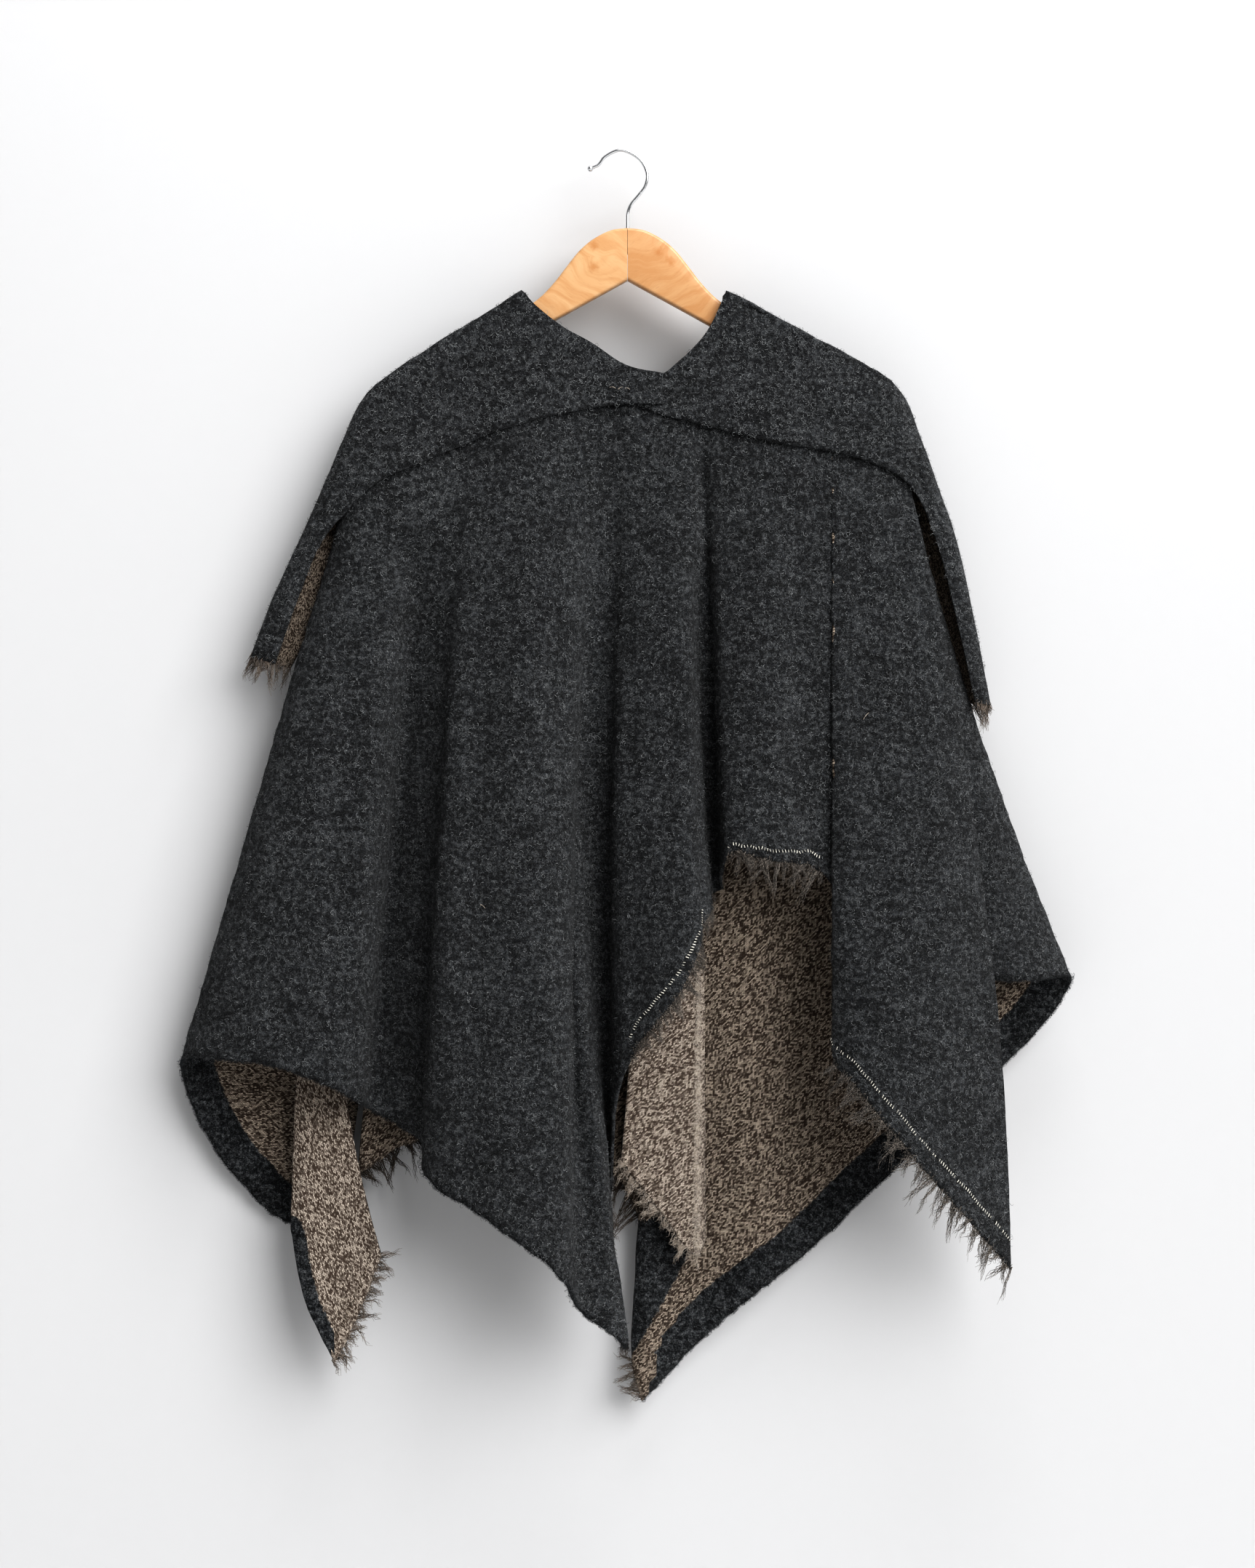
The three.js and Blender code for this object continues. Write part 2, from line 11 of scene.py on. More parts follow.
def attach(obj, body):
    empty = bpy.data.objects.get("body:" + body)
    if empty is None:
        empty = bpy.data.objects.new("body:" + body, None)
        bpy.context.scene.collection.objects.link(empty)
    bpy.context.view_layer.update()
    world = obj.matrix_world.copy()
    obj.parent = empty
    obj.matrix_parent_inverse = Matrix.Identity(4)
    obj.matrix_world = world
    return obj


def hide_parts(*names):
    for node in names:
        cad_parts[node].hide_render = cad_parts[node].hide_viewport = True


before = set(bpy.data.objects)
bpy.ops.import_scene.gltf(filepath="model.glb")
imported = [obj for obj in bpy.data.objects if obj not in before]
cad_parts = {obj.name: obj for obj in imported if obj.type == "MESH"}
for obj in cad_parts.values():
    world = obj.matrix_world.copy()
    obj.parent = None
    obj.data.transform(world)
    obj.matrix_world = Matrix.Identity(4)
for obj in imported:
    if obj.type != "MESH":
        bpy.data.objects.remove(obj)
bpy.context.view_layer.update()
scene = bpy.context.scene


# Hook of the hanger: one bent steel wire, 2.8 mm thick and chromed, with a small ball at its
# tip. Its stem runs down into the joint between the two wooden arms.
MM = 0.001
HOOK_WIRE = 1.4
HOOK_BALL = 2.6
HOOK_LINE = [(-26.7, -14.4), (-19.8, -11.2), (-14.5, -4.6), (-1, 1.4), (12, -3.6), (19.2, -11.8),
             (21.8, -20.4), (19.8, -29.8), (14.2, -37.4), (8, -45), (5.4, -51.5), (5, -60),
             (5, -76.6), (5, -87.6)]


def smooth_run(points, steps):
    """A centripetal curve through points, with that many steps from each to the next."""
    if len(points) < 3:
        a, b = points
        return [a.lerp(b, k / steps) for k in range(steps + 1)]
    ends = [points[0] * 2 - points[1], *points, points[-1] * 2 - points[-2]]
    line = [points[0].copy()]
    for p0, p1, p2, p3 in zip(ends, ends[1:], ends[2:], ends[3:]):
        middle = math.sqrt((p2 - p1).length) or 1.0
        before = math.sqrt((p1 - p0).length) or middle
        after = math.sqrt((p3 - p2).length) or middle
        t1 = ((p1 - p0) / before - (p2 - p0) / (before + middle) + (p2 - p1) / middle) * middle
        t2 = ((p2 - p1) / middle - (p3 - p1) / (middle + after) + (p3 - p2) / after) * middle
        c2 = (p2 - p1) * 3 - t1 * 2 - t2
        c3 = (p1 - p2) * 2 + t1 + t2
        for k in range(1, steps + 1):
            t = k / steps
            line.append(p1 + (t1 + (c2 + c3 * t) * t) * t)
    return line


def wires(name, lines, radius, roundness=0, taper=None):
    """One mesh of tubes along lines of points. `taper` gives the relative radius along a line."""
    curve = bpy.data.curves.new(name, "CURVE")
    curve.dimensions = "3D"
    curve.bevel_depth = radius
    curve.bevel_resolution = roundness
    curve.use_fill_caps = True
    for line in lines:
        spline = curve.splines.new("POLY")
        spline.points.add(len(line) - 1)
        spline.points.foreach_set("co", [c for p in line for c in (p[0], p[1], p[2], 1.0)])
        if taper:
            last = len(line) - 1
            spline.points.foreach_set("radius", [taper(k / last) for k in range(last + 1)])
    carrier = bpy.data.objects.new(name + "_line", curve)
    mesh = bpy.data.meshes.new_from_object(carrier)
    bpy.data.objects.remove(carrier)
    bpy.data.curves.remove(curve)
    return piece(name, mesh)


def piece(name, mesh):
    """An object for a finished mesh, on the part's one body."""
    mesh.name = name
    made = bpy.data.objects.new(name, mesh)
    scene.collection.objects.link(made)
    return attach(made, "root")


def mesh_of(name, shape):
    """A mesh from a finished bmesh, which is freed."""
    mesh = bpy.data.meshes.new(name)
    shape.to_mesh(mesh)
    shape.free()
    return mesh


def square_to(way, line):
    """The part of a direction that is square to a line, as a unit vector."""
    return (way - line * (way.dot(line) / line.length_squared)).normalized()


def put(tree, kind, sockets=None, **settings):
    """Adds a node. `sockets` sets or links its inputs."""
    made = tree.nodes.new(kind)
    for key, value in settings.items():
        setattr(made, key, value)
    for key, value in (sockets or {}).items():
        if isinstance(value, bpy.types.NodeSocket):
            tree.links.new(value, made.inputs[key])
        else:
            made.inputs[key].default_value = value
    return made


def finish(name, color, roughness, **constants):
    """A material with its Principled shader, and that shader's node."""
    made = bpy.data.materials.new(name)
    made.use_nodes = True
    shader = made.node_tree.nodes["Principled BSDF"]
    shader.inputs["Base Color"].default_value = (*color, 1.0)
    shader.inputs["Roughness"].default_value = roughness
    for key, value in constants.items():
        shader.inputs[key.replace("_", " ")].default_value = value
    return made, made.node_tree, shader


def smooth_step(tree, value, low, high, to_low=0.0, to_high=1.0):
    """A soft threshold between two values."""
    made = put(tree, "ShaderNodeMapRange", {"Value": value}, interpolation_type="SMOOTHSTEP")
    for key, number in zip(("From Min", "From Max", "To Min", "To Max"), (low, high, to_low, to_high)):
        made.inputs[key].default_value = number
    return made.outputs["Result"]


def mix_color(tree, amount, first, second):
    """A mix of two colours."""
    made = put(tree, "ShaderNodeMix", data_type="RGBA")
    for number, value in ((0, amount), (6, first), (7, second)):
        if isinstance(value, bpy.types.NodeSocket):
            tree.links.new(value, made.inputs[number])
        else:
            made.inputs[number].default_value = value
    return made.outputs[2]


def math_node(tree, operation, *values):
    """One arithmetic step in a node tree."""
    return put(tree, "ShaderNodeMath", dict(enumerate(values)), operation=operation).outputs[0]


def coarse_noise(tree, vector, scale, detail=2.0, roughness=0.5):
    """A noise value in a node tree."""
    return put(tree, "ShaderNodeTexNoise", {"Vector": vector, "Scale": scale, "Detail": detail,
                                            "Roughness": roughness}).outputs[0]


def added(tree, first, second):
    """The sum of two vectors in a node tree."""
    return put(tree, "ShaderNodeVectorMath", {0: first, 1: second}, operation="ADD").outputs[0]


def scaled(tree, vector, factor):
    """A vector times a number in a node tree."""
    return put(tree, "ShaderNodeVectorMath", {0: vector, "Scale": factor}, operation="SCALE").outputs[0]


def stretched(tree, vector, scale):
    """A vector with its three parts scaled on their own."""
    return put(tree, "ShaderNodeMapping", {"Vector": vector, "Scale": scale}).outputs[0]


def object_place(tree):
    """The place on the object, in metres."""
    return put(tree, "ShaderNodeTexCoord").outputs["Object"]


def add_bump(tree, shader, height, strength, distance):
    """Lets a height shape the surface of a material."""
    bump = put(tree, "ShaderNodeBump", {"Height": height, "Strength": strength, "Distance": distance})
    tree.links.new(bump.outputs[0], shader.inputs["Normal"])


def new_group(name, inputs, outputs):
    """An empty node group with named sockets; returns it, what it is given and its results."""
    group = bpy.data.node_groups.new(name, "ShaderNodeTree")
    for way, sockets in (("INPUT", inputs), ("OUTPUT", outputs)):
        for key, kind in sockets:
            group.interface.new_socket(key, in_out=way, socket_type="NodeSocket" + kind)
    return group, group.nodes.new("NodeGroupInput").outputs, group.nodes.new("NodeGroupOutput").inputs


hook_points = smooth_run([Vector((x, 0, z)) * MM for x, z in HOOK_LINE], 8)
hook = wires("hook_wire", [hook_points], HOOK_WIRE * MM, roundness=5)
ball = bmesh.new()
ball.from_mesh(hook.data)
tip = bmesh.ops.create_uvsphere(ball, u_segments=20, v_segments=12, radius=HOOK_BALL * MM)
bmesh.ops.translate(ball, verts=tip["verts"], vec=hook_points[0])
ball.to_mesh(hook.data)
ball.free()
hook.data.shade_smooth()
chrome, tree, shader = finish("chrome", (0.72, 0.73, 0.74), 0.16, Metallic=1.0)
haze = coarse_noise(tree, object_place(tree), 260.0, 3.0)
tree.links.new(smooth_step(tree, haze, 0.35, 0.75, 0.12, 0.3), shader.inputs["Roughness"])
hook.data.materials.append(chrome)
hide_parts("hanger_hook")


# Arms of the hanger: two pieces of pale hardwood, 12 mm thick with rounded edges, glued in a
# mitre in the middle and varnished. The hook's stem sits in a hole in the mitre.
HANGER_X = 5
ARM_THICK = 12
ARM_ROUND = 2.6
MITRE_GAP = 0.15
ARM_TOP = [(0, -65.6), (-14, -67.5), (-30, -75.6), (-41, -85), (-51, -97.3), (-62, -111.6),
           (-76, -126), (-115, -151.5), (-165, -178.5), (-200, -197.5), (-214, -206)]
ARM_END = [(-218.5, -212), (-213, -222)]
ARM_BOTTOM = [(-165, -201), (-115, -174), (-68, -147.5), (0, -110)]
GRAIN_SCALE = (14.0, 30.0, 120.0)
PORE_SCALE = (160.0, 400.0, 1500.0)
PORE_COLOR = (0.30, 0.13, 0.04, 1.0)
KNOT_COLOR = (0.42, 0.17, 0.045, 1.0)
KNOT_REACH = 0.024


def timber():
    """Node group: flowing grain with small pin knots, as a colour and a height."""
    group, given, result = new_group(
        "timber",
        (("Vector", "Vector"), ("Knot 1", "Vector"), ("Knot 2", "Vector"), ("Pale", "Color"),
         ("Deep", "Color")),
        (("Color", "Color"), ("Height", "Float")))
    place = given["Vector"]
    near = [put(group, "ShaderNodeVectorMath", {0: place, 1: given[knot]}, operation="DISTANCE")
            for knot in ("Knot 1", "Knot 2")]
    nearest = math_node(group, "MINIMUM", *(away.outputs["Value"] for away in near))
    swirl = smooth_step(group, nearest, 0.0, KNOT_REACH, 1.0, 0.0)
    wander = coarse_noise(group, place, 26.0)
    bend = math_node(group, "ADD", wander, math_node(group, "MULTIPLY", swirl, 0.45))
    lift = put(group, "ShaderNodeCombineXYZ", {"Z": bend}).outputs[0]
    shifted = added(group, stretched(group, place, GRAIN_SCALE), scaled(group, lift, 3.4))
    bands = smooth_step(group, coarse_noise(group, shifted, 1.0, 6.0, 0.62), 0.36, 0.66)
    ticks = smooth_step(group, coarse_noise(group, stretched(group, place, PORE_SCALE), 1.0), 0.58, 0.72)
    cloudy = smooth_step(group, wander, 0.35, 0.65)
    tone = mix_color(group, bands, given["Pale"], given["Deep"])
    tone = mix_color(group, math_node(group, "MULTIPLY", cloudy, 0.35), tone, given["Deep"])
    tone = mix_color(group, math_node(group, "MULTIPLY", ticks, 0.16), tone, PORE_COLOR)
    ragged = math_node(group, "MULTIPLY_ADD", coarse_noise(group, place, 420.0, 3.0), 0.0065, nearest)
    core = smooth_step(group, ragged, 0.0035, 0.0095, 0.62, 0.0)
    group.links.new(mix_color(group, core, tone, KNOT_COLOR), result["Color"])
    group.links.new(bands, result["Height"])
    return group


TIMBER = timber()


def timber_material(name, turn, knots, pale, deep):
    """Varnished wood whose grain runs along one arm."""
    made, tree, shader = finish(name, pale, 0.42, Specular_IOR_Level=0.45, Coat_Weight=0.22,
                                Coat_Roughness=0.22)
    turned = (0.0, turn, 0.0)
    along = put(tree, "ShaderNodeMapping", {"Vector": object_place(tree), "Rotation": turned}).outputs[0]
    knot_places = []
    for x, z in knots:
        spot = (x * MM, -ARM_THICK / 2 * MM, z * MM)
        knot_places.append(put(tree, "ShaderNodeMapping", {"Vector": spot, "Rotation": turned}).outputs[0])
    grain = put(tree, "ShaderNodeGroup",
                {"Vector": along, "Knot 1": knot_places[0], "Knot 2": knot_places[1], "Pale": (*pale, 1.0),
                 "Deep": (*deep, 1.0)}, node_tree=TIMBER).outputs
    tree.links.new(grain["Color"], shader.inputs["Base Color"])
    tree.links.new(smooth_step(tree, grain["Height"], 0.0, 1.0, 0.36, 0.46), shader.inputs["Roughness"])
    add_bump(tree, shader, grain["Height"], 0.05, 0.0004)
    return made


def arm(name, side, material):
    """Half of the hanger: its outline drawn out to the thickness, with the edges rounded."""
    top = smooth_run([Vector((x, 0, z)) for x, z in ARM_TOP], 5)
    bottom = smooth_run([Vector((x, 0, z)) for x, z in ARM_BOTTOM], 6)
    outline = [*top, *(Vector((x, 0, z)) for x, z in ARM_END), *bottom]
    shape = bmesh.new()
    corners = []
    for point in outline:
        x = HANGER_X + side * max(-point.x, MITRE_GAP)
        corners.append(shape.verts.new((x * MM, -ARM_THICK / 2 * MM, point.z * MM)))
    face = shape.faces.new(corners)
    drawn = bmesh.ops.extrude_face_region(shape, geom=[face])["geom"]
    far = [v for v in drawn if isinstance(v, bmesh.types.BMVert)]
    bmesh.ops.translate(shape, verts=far, vec=(0, ARM_THICK * MM, 0))
    bmesh.ops.recalc_face_normals(shape, faces=shape.faces)
    mitre = (HANGER_X + side * MITRE_GAP) * MM
    rims = []
    for edge in shape.edges:
        a, b = (v.co for v in edge.verts)
        flat = abs(a.y - b.y) < 1e-7
        in_mitre = abs(a.x - mitre) < 1e-6 and abs(b.x - mitre) < 1e-6
        if flat and not in_mitre:
            rims.append(edge)
    bmesh.ops.bevel(shape, geom=rims, offset=ARM_ROUND * MM, offset_type="OFFSET", affect="EDGES",
                    segments=4, profile=0.5, material=-1)
    mesh = mesh_of(name, shape)
    made = piece(name, mesh)
    mesh.shade_smooth()
    mesh.set_sharp_from_angle(angle=math.radians(50))
    mesh.materials.append(material)
    return made


arm_left = arm("arm_left", -1, timber_material(
    "wood_left", math.radians(-32), ((-23.5, -99), (-23.5, -81.6)), (0.62, 0.395, 0.215), (0.53, 0.29, 0.13)))
arm_right = arm("arm_right", 1, timber_material(
    "wood_right", math.radians(30), ((42, -94.3), (31, -86)), (0.57, 0.345, 0.18), (0.49, 0.255, 0.108)))
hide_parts("hanger_arm_left")
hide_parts("hanger_arm_right")


# Back cloth: the lower layer of the wrap. It hangs from the shoulders down the back, and turns
# round the right side to the front. Its long edge is a selvedge and its end is frayed.
WALL = 3.0
GROWTH = 1.2
HEM_UNEVEN = 2.4
FINE_RELIEF = 0.85
BROAD_RELIEF = 0.9
# Each row is a fold line: its name, its top x, y, z, its hem x, y, z, its bow sideways, and 1 where
# the hem has a sharp corner.
BACK = [
    ("front right end", 195, -7.9, -203, 207, -26, -660, 0, 0),
    ("front right inner", 211, -7.9, -211, 277, -26, -700, 0, 0),
    ("front right", 222, -7.9, -219, 350, -20, -705, -11, 0),
    ("right side fold", 232, 0, -227, 382, 0, -703, -13, 0),
    ("back right outer", 222, 6.6, -219, 370, 18, -735, -8, 0),
    ("back right", 205, 7.9, -206, 299, 27, -810, 0, 0),
    ("back valley 1", 173, 7.9, -190, 227, 16, -876, 0, 0),
    ("back ridge 1", 129, 7.9, -169, 167, 28, -935, 0, 0),
    ("back valley 2", 84, 7.9, -184, 113, 15, -977, 0, 0),
    ("back ridge 2", 60, 7.9, -194, 66, 24, -1019, 0, 0),
    ("back corner", 42, 8.2, -202, 17, 14, -1067, 0, 1),
    ("corner low", 34, 8.1, -203, 9, 17, -1034, 8, 0),
    ("corner turn", 24, 7.9, -204, 14, 23, -912, 0, 0),
    ("back valley 3", -15, 7.9, -196, -22, 13, -861, 0, 0),
    ("back ridge 3", -62, 7.9, -178, -76, 26, -861, 0, 0),
    ("back valley 4", -102, 7.9, -168, -129, 13, -842, 0, 0),
    ("back ridge 4", -136, 7.9, -184, -183, 24, -848, 0, 0),
    ("back left inner", -165, 7.9, -200, -227, 19, -875, 0, 0),
]


def fold_point(row, v):
    """A point of a fold line at fraction v of its way down from the shoulder to the hem."""
    _, top_x, top_y, top_z, hem_x, hem_y, hem_z, bow, _ = row
    x = top_x + (hem_x - top_x) * v + bow * 4 * v * (1 - v)
    y = top_y + (hem_y - top_y) * v ** GROWTH
    return Vector((x, y, top_z + (hem_z - top_z) * v))


def smooth_line(points, turns, cells):
    """A smooth line through points, broken where the cloth has a sharp corner."""
    line = [points[0]]
    start = 0
    for i in range(1, len(points)):
        if turns[i] or i == len(points) - 1:
            run = points[start:i + 1]
            line += smooth_run(run, cells)[1:]
            start = i
    return line


def drape(rows, down, cells):
    """The middle surface of a hanging cloth in millimetres, as lines from its top to its hem."""
    turns = [row[-1] for row in rows]
    return [smooth_line([fold_point(row, j / down) for row in rows], turns, cells) for j in range(down + 1)]


def grid_normals(grid):
    """The outward direction at each point of a grid."""
    last_j, last_i = len(grid) - 1, len(grid[0]) - 1
    normals = []
    for j, line in enumerate(grid):
        down = [b - a for a, b in zip(grid[max(j - 1, 0)], grid[min(j + 1, last_j)])]
        along = [line[min(i + 1, last_i)] - line[max(i - 1, 0)] for i in range(last_i + 1)]
        normals.append([d.cross(a).normalized() for d, a in zip(down, along)])
    return normals


def crease_depth(x, z, creases):
    """How far the listed creases push the cloth out at a place of its face."""
    total = 0.0
    for x0, z0, x1, z1, width, depth in creases:
        dx, dz = x1 - x0, z1 - z0
        t = ((x - x0) * dx + (z - z0) * dz) / (dx * dx + dz * dz)
        if 0.0 < t < 1.0:
            away = math.hypot(x - x0 - t * dx, z - z0 - t * dz) / width
            if away < 1.0:
                total += depth * math.sin(math.pi * t) ** 0.6 * (1 - away * away) ** 2
    return total


def relief(point, seed):
    """The uneven thickness of the looped cloth, in millimetres."""
    fine = noise.noise(point * 0.17 + Vector((seed, 0, 0)))
    broad = noise.noise(point * 0.045 + Vector((0, seed, 0)))
    return FINE_RELIEF * fine + BROAD_RELIEF * broad


def pushed(grid, depth):
    """A grid whose points are moved outward by what `depth` gives for a point and its way out."""
    return [[point + way * depth(point, way) for point, way in zip(line, ways)]
            for line, ways in zip(grid, grid_normals(grid))]


def worked_grid(grid, front_creases, back_creases, seed):
    """A draped grid with its creases, its relief and its uneven hem."""
    def depth(point, way):
        creases = front_creases if way.y < 0 else back_creases
        facing = min(abs(way.y) * 1.6, 1.0)
        return crease_depth(point.x, point.z, creases) * facing + relief(point, seed)

    worked = pushed(grid, depth)
    for upper, hem in zip(worked[-2], worked[-1]):
        uneven = noise.noise(hem * 0.21 + Vector((seed, seed, 0))) * HEM_UNEVEN
        hem += (hem - upper).normalized() * uneven
    return worked


def cloth_sheet(name, grids, materials, edges=None):
    """A cloth of one or two grids with its outer and inner face. `edges` gives, for a point in
    metres, how far inside the dark selvedge it lies."""
    shape = bmesh.new()
    for grid in grids:
        last_j, last_i = len(grid) - 1, len(grid[0]) - 1
        made = bmesh.ops.create_grid(shape, x_segments=last_i, y_segments=last_j, size=0.5)
        for vertex in made["verts"]:
            i = round((vertex.co.x + 0.5) * last_i)
            j = round((0.5 - vertex.co.y) * last_j)
            vertex.co = grid[j][i] * MM
    if len(grids) > 1:
        bmesh.ops.remove_doubles(shape, verts=shape.verts, dist=0.00002)
    band = shape.verts.layers.float.new("selvedge")
    for vertex in shape.verts:
        vertex[band] = edges(vertex.co) if edges else 1.0
    mesh = mesh_of(name, shape)
    made = piece(name, mesh)
    mesh.shade_smooth()
    for material in materials:
        mesh.materials.append(material)
    thick = made.modifiers.new("wall", "SOLIDIFY")
    thick.thickness = WALL * MM
    thick.offset = 0.0
    thick.material_offset = 1
    thick.material_offset_rim = 0
    return made


def warped(tree, place, scale, reach):
    """A place shifted every way by a noise, by up to half of `reach`."""
    warp = put(tree, "ShaderNodeTexNoise", {"Vector": place, "Scale": scale, "Detail": 2.0})
    centred = put(tree, "ShaderNodeVectorMath", {0: warp.outputs["Color"], 1: (0.5, 0.5, 0.5)},
                  operation="SUBTRACT").outputs[0]
    return added(tree, place, scaled(tree, centred, reach))


def looped_pile():
    """Node group: small curled loops of charcoal wool with pale hairs, as a colour and a height."""
    group, given, result = new_group(
        "looped_pile",
        (("Vector", "Vector"), ("Shadow", "Color"), ("Pile", "Color"), ("Hair", "Color")),
        (("Color", "Color"), ("Height", "Float")))
    place = given["Vector"]
    loops = []
    for scale, bend, width in ((310.0, 0.007, 0.085), (520.0, 0.005, 0.11)):
        spot = warped(group, place, 330.0, bend)
        rings = put(group, "ShaderNodeTexVoronoi", {"Vector": spot, "Scale": scale},
                    feature="DISTANCE_TO_EDGE").outputs["Distance"]
        loops.append(smooth_step(group, rings, 0.0, width, 1.0, 0.0))
    patchy = smooth_step(group, coarse_noise(group, place, 240.0, 3.0, 0.65), 0.42, 0.66)
    rows = stretched(group, place, (42.0, 42.0, 250.0))
    banded = smooth_step(group, coarse_noise(group, rows, 1.0, 3.0, 0.6), 0.36, 0.66)
    cloudy = smooth_step(group, coarse_noise(group, place, 24.0, 4.0, 0.6), 0.3, 0.7)
    speck = coarse_noise(group, place, 760.0, 2.0, 0.7)
    lightness = math_node(group, "MULTIPLY_ADD", banded, 0.20, math_node(group, "MULTIPLY", patchy, 0.34))
    lightness = math_node(group, "MULTIPLY_ADD", cloudy, 0.16, lightness)
    lightness = math_node(group, "ADD", lightness, math_node(group, "MULTIPLY_ADD", speck, 1.9, -0.85))
    base = mix_color(group, smooth_step(group, lightness, 0.0, 1.0), given["Shadow"], given["Pile"])
    hair = math_node(group, "MULTIPLY", loops[0], smooth_step(group, lightness, 0.25, 1.0))
    hair = math_node(group, "MAXIMUM", math_node(group, "MULTIPLY", hair, 0.75),
                     math_node(group, "MULTIPLY", loops[1], math_node(group, "MULTIPLY", patchy, 0.34)))
    group.links.new(mix_color(group, hair, base, given["Hair"]), result["Color"])
    height = math_node(group, "MULTIPLY_ADD", loops[0], 0.55, math_node(group, "MULTIPLY", loops[1], 0.3))
    height = math_node(group, "MULTIPLY_ADD", coarse_noise(group, place, 210.0, 3.0, 0.6), 1.2, height)
    group.links.new(height, result["Height"])
    return group


FLECK_LENGTH = 2.1
THREAD_PITCH = 1.1
THREAD_GAP = 0.2


def flecked_weave():
    """Node group: the woven inner face, cream and brown flecks in slanting rows. Reads the
    cloth's own map in metres."""
    group, given, result = new_group(
        "flecked_weave",
        (("Vector", "Vector"), ("Cream", "Color"), ("Brown", "Color"), ("Gap", "Color")),
        (("Color", "Color"), ("Height", "Float")))
    place = given["Vector"]
    threads = scaled(group, warped(group, place, 420.0, 0.0009), 1.0 / MM)
    weave = put(group, "ShaderNodeTexBrick",
                {"Vector": threads, "Color1": (1, 1, 1, 1), "Color2": (0, 0, 0, 1),
                 "Mortar": (0.32, 0.32, 0.32, 1), "Scale": 1.0, "Mortar Size": THREAD_GAP,
                 "Mortar Smooth": 0.8, "Bias": 0.0,
                 "Brick Width": FLECK_LENGTH, "Row Height": THREAD_PITCH}, offset=0.5)
    broad = math_node(group, "MULTIPLY", coarse_noise(group, place, 130.0, 4.0, 0.7), 1.15)
    uneven = math_node(group, "MULTIPLY_ADD", coarse_noise(group, place, 620.0, 3.0, 0.7), 1.0, broad)
    fleck = math_node(group, "MULTIPLY_ADD", weave.outputs["Color"], 0.95, -1.22)
    tint = math_node(group, "ADD", fleck, uneven)
    tone = mix_color(group, smooth_step(group, tint, -0.05, 0.9), given["Brown"], given["Cream"])
    hole = smooth_step(group, coarse_noise(group, place, 900.0), 0.56, 0.72)
    gap = math_node(group, "MULTIPLY", weave.outputs[1], 0.85)
    gap = math_node(group, "MAXIMUM", gap, math_node(group, "MULTIPLY", hole, 0.45))
    group.links.new(mix_color(group, gap, tone, given["Gap"]), result["Color"])
    solid = math_node(group, "SUBTRACT", 1.0, gap)
    group.links.new(math_node(group, "MULTIPLY_ADD", tint, 0.6, solid), result["Height"])
    return group


LOOPED_PILE = looped_pile()
FLECKED_WEAVE = flecked_weave()
PILE_COLORS = ((0.0034, 0.0038, 0.0045), (0.049, 0.053, 0.058), (0.36, 0.37, 0.375))
SELVEDGE_WIDTH = 0.031


def pile_nodes(tree, coords, tint=1.0):
    """The outer face's colour and height in a material."""
    loops = put(tree, "ShaderNodeGroup", {"Vector": coords}, node_tree=LOOPED_PILE)
    for key, color in zip(("Shadow", "Pile", "Hair"), PILE_COLORS):
        loops.inputs[key].default_value = (*(tint * c for c in color), 1.0)
    return loops.outputs


def outer_material(name):
    """The charcoal outer face."""
    made, tree, shader = finish(name, PILE_COLORS[1], 0.96, Specular_IOR_Level=0.12, Sheen_Weight=0.10,
                                Sheen_Roughness=0.6)
    loops = pile_nodes(tree, object_place(tree))
    tree.links.new(loops["Color"], shader.inputs["Base Color"])
    add_bump(tree, shader, loops["Height"], 0.9, 0.0022)
    return made


def inner_material(name, cream, brown, gap):
    """The brown inner face, with the dark selvedge along the long edges."""
    made, tree, shader = finish(name, brown, 0.9, Specular_IOR_Level=0.15, Sheen_Weight=0.08,
                                Sheen_Roughness=0.5)
    mapped = put(tree, "ShaderNodeUVMap", uv_map="cloth").outputs[0]
    weave = put(tree, "ShaderNodeGroup",
                {"Vector": mapped, "Cream": (*cream, 1.0), "Brown": (*brown, 1.0), "Gap": (*gap, 1.0)},
                node_tree=FLECKED_WEAVE).outputs
    coords = object_place(tree)
    loops = pile_nodes(tree, coords, 0.8)
    inside = put(tree, "ShaderNodeAttribute", attribute_name="selvedge", attribute_type="GEOMETRY")
    ragged = math_node(tree, "MULTIPLY_ADD", coarse_noise(tree, coords, 330.0), 0.004, inside.outputs["Fac"])
    band = smooth_step(tree, ragged, SELVEDGE_WIDTH, SELVEDGE_WIDTH + 0.0016, 1.0, 0.0)
    tree.links.new(mix_color(tree, band, weave["Color"], loops["Color"]), shader.inputs["Base Color"])
    height = put(tree, "ShaderNodeMix", {0: band, 2: weave["Height"], 3: loops["Height"]}, data_type="FLOAT")
    add_bump(tree, shader, height.outputs[0], 0.7, 0.0011)
    return made


def column_of(grid, rows, name):
    """The place of a fold line in a grid draped from rows."""
    cells = (len(grid[0]) - 1) // (len(rows) - 1)
    return [row[0] for row in rows].index(name) * cells


def hem_points(grid, rows, *names):
    """The hem ends of fold lines."""
    return [grid[-1][column_of(grid, rows, name)] for name in names]


def selvedge_depth(grid, columns, turned=None, shift=0.0):
    """A function for how far inside the selvedge a point lies, in metres, with `shift` added.
    Points nearest to another part of the hem count as far inside."""
    hem = [point * MM for point in grid[-1]]
    tree = kdtree.KDTree(len(hem))
    for i, point in enumerate(hem):
        tree.insert(point, i)
    tree.balance()

    def depth(point):
        _, nearest, away = tree.find(point)
        found = away if nearest in columns else 1.0
        return (min(found, turned(point)) if turned else found) + shift

    return depth


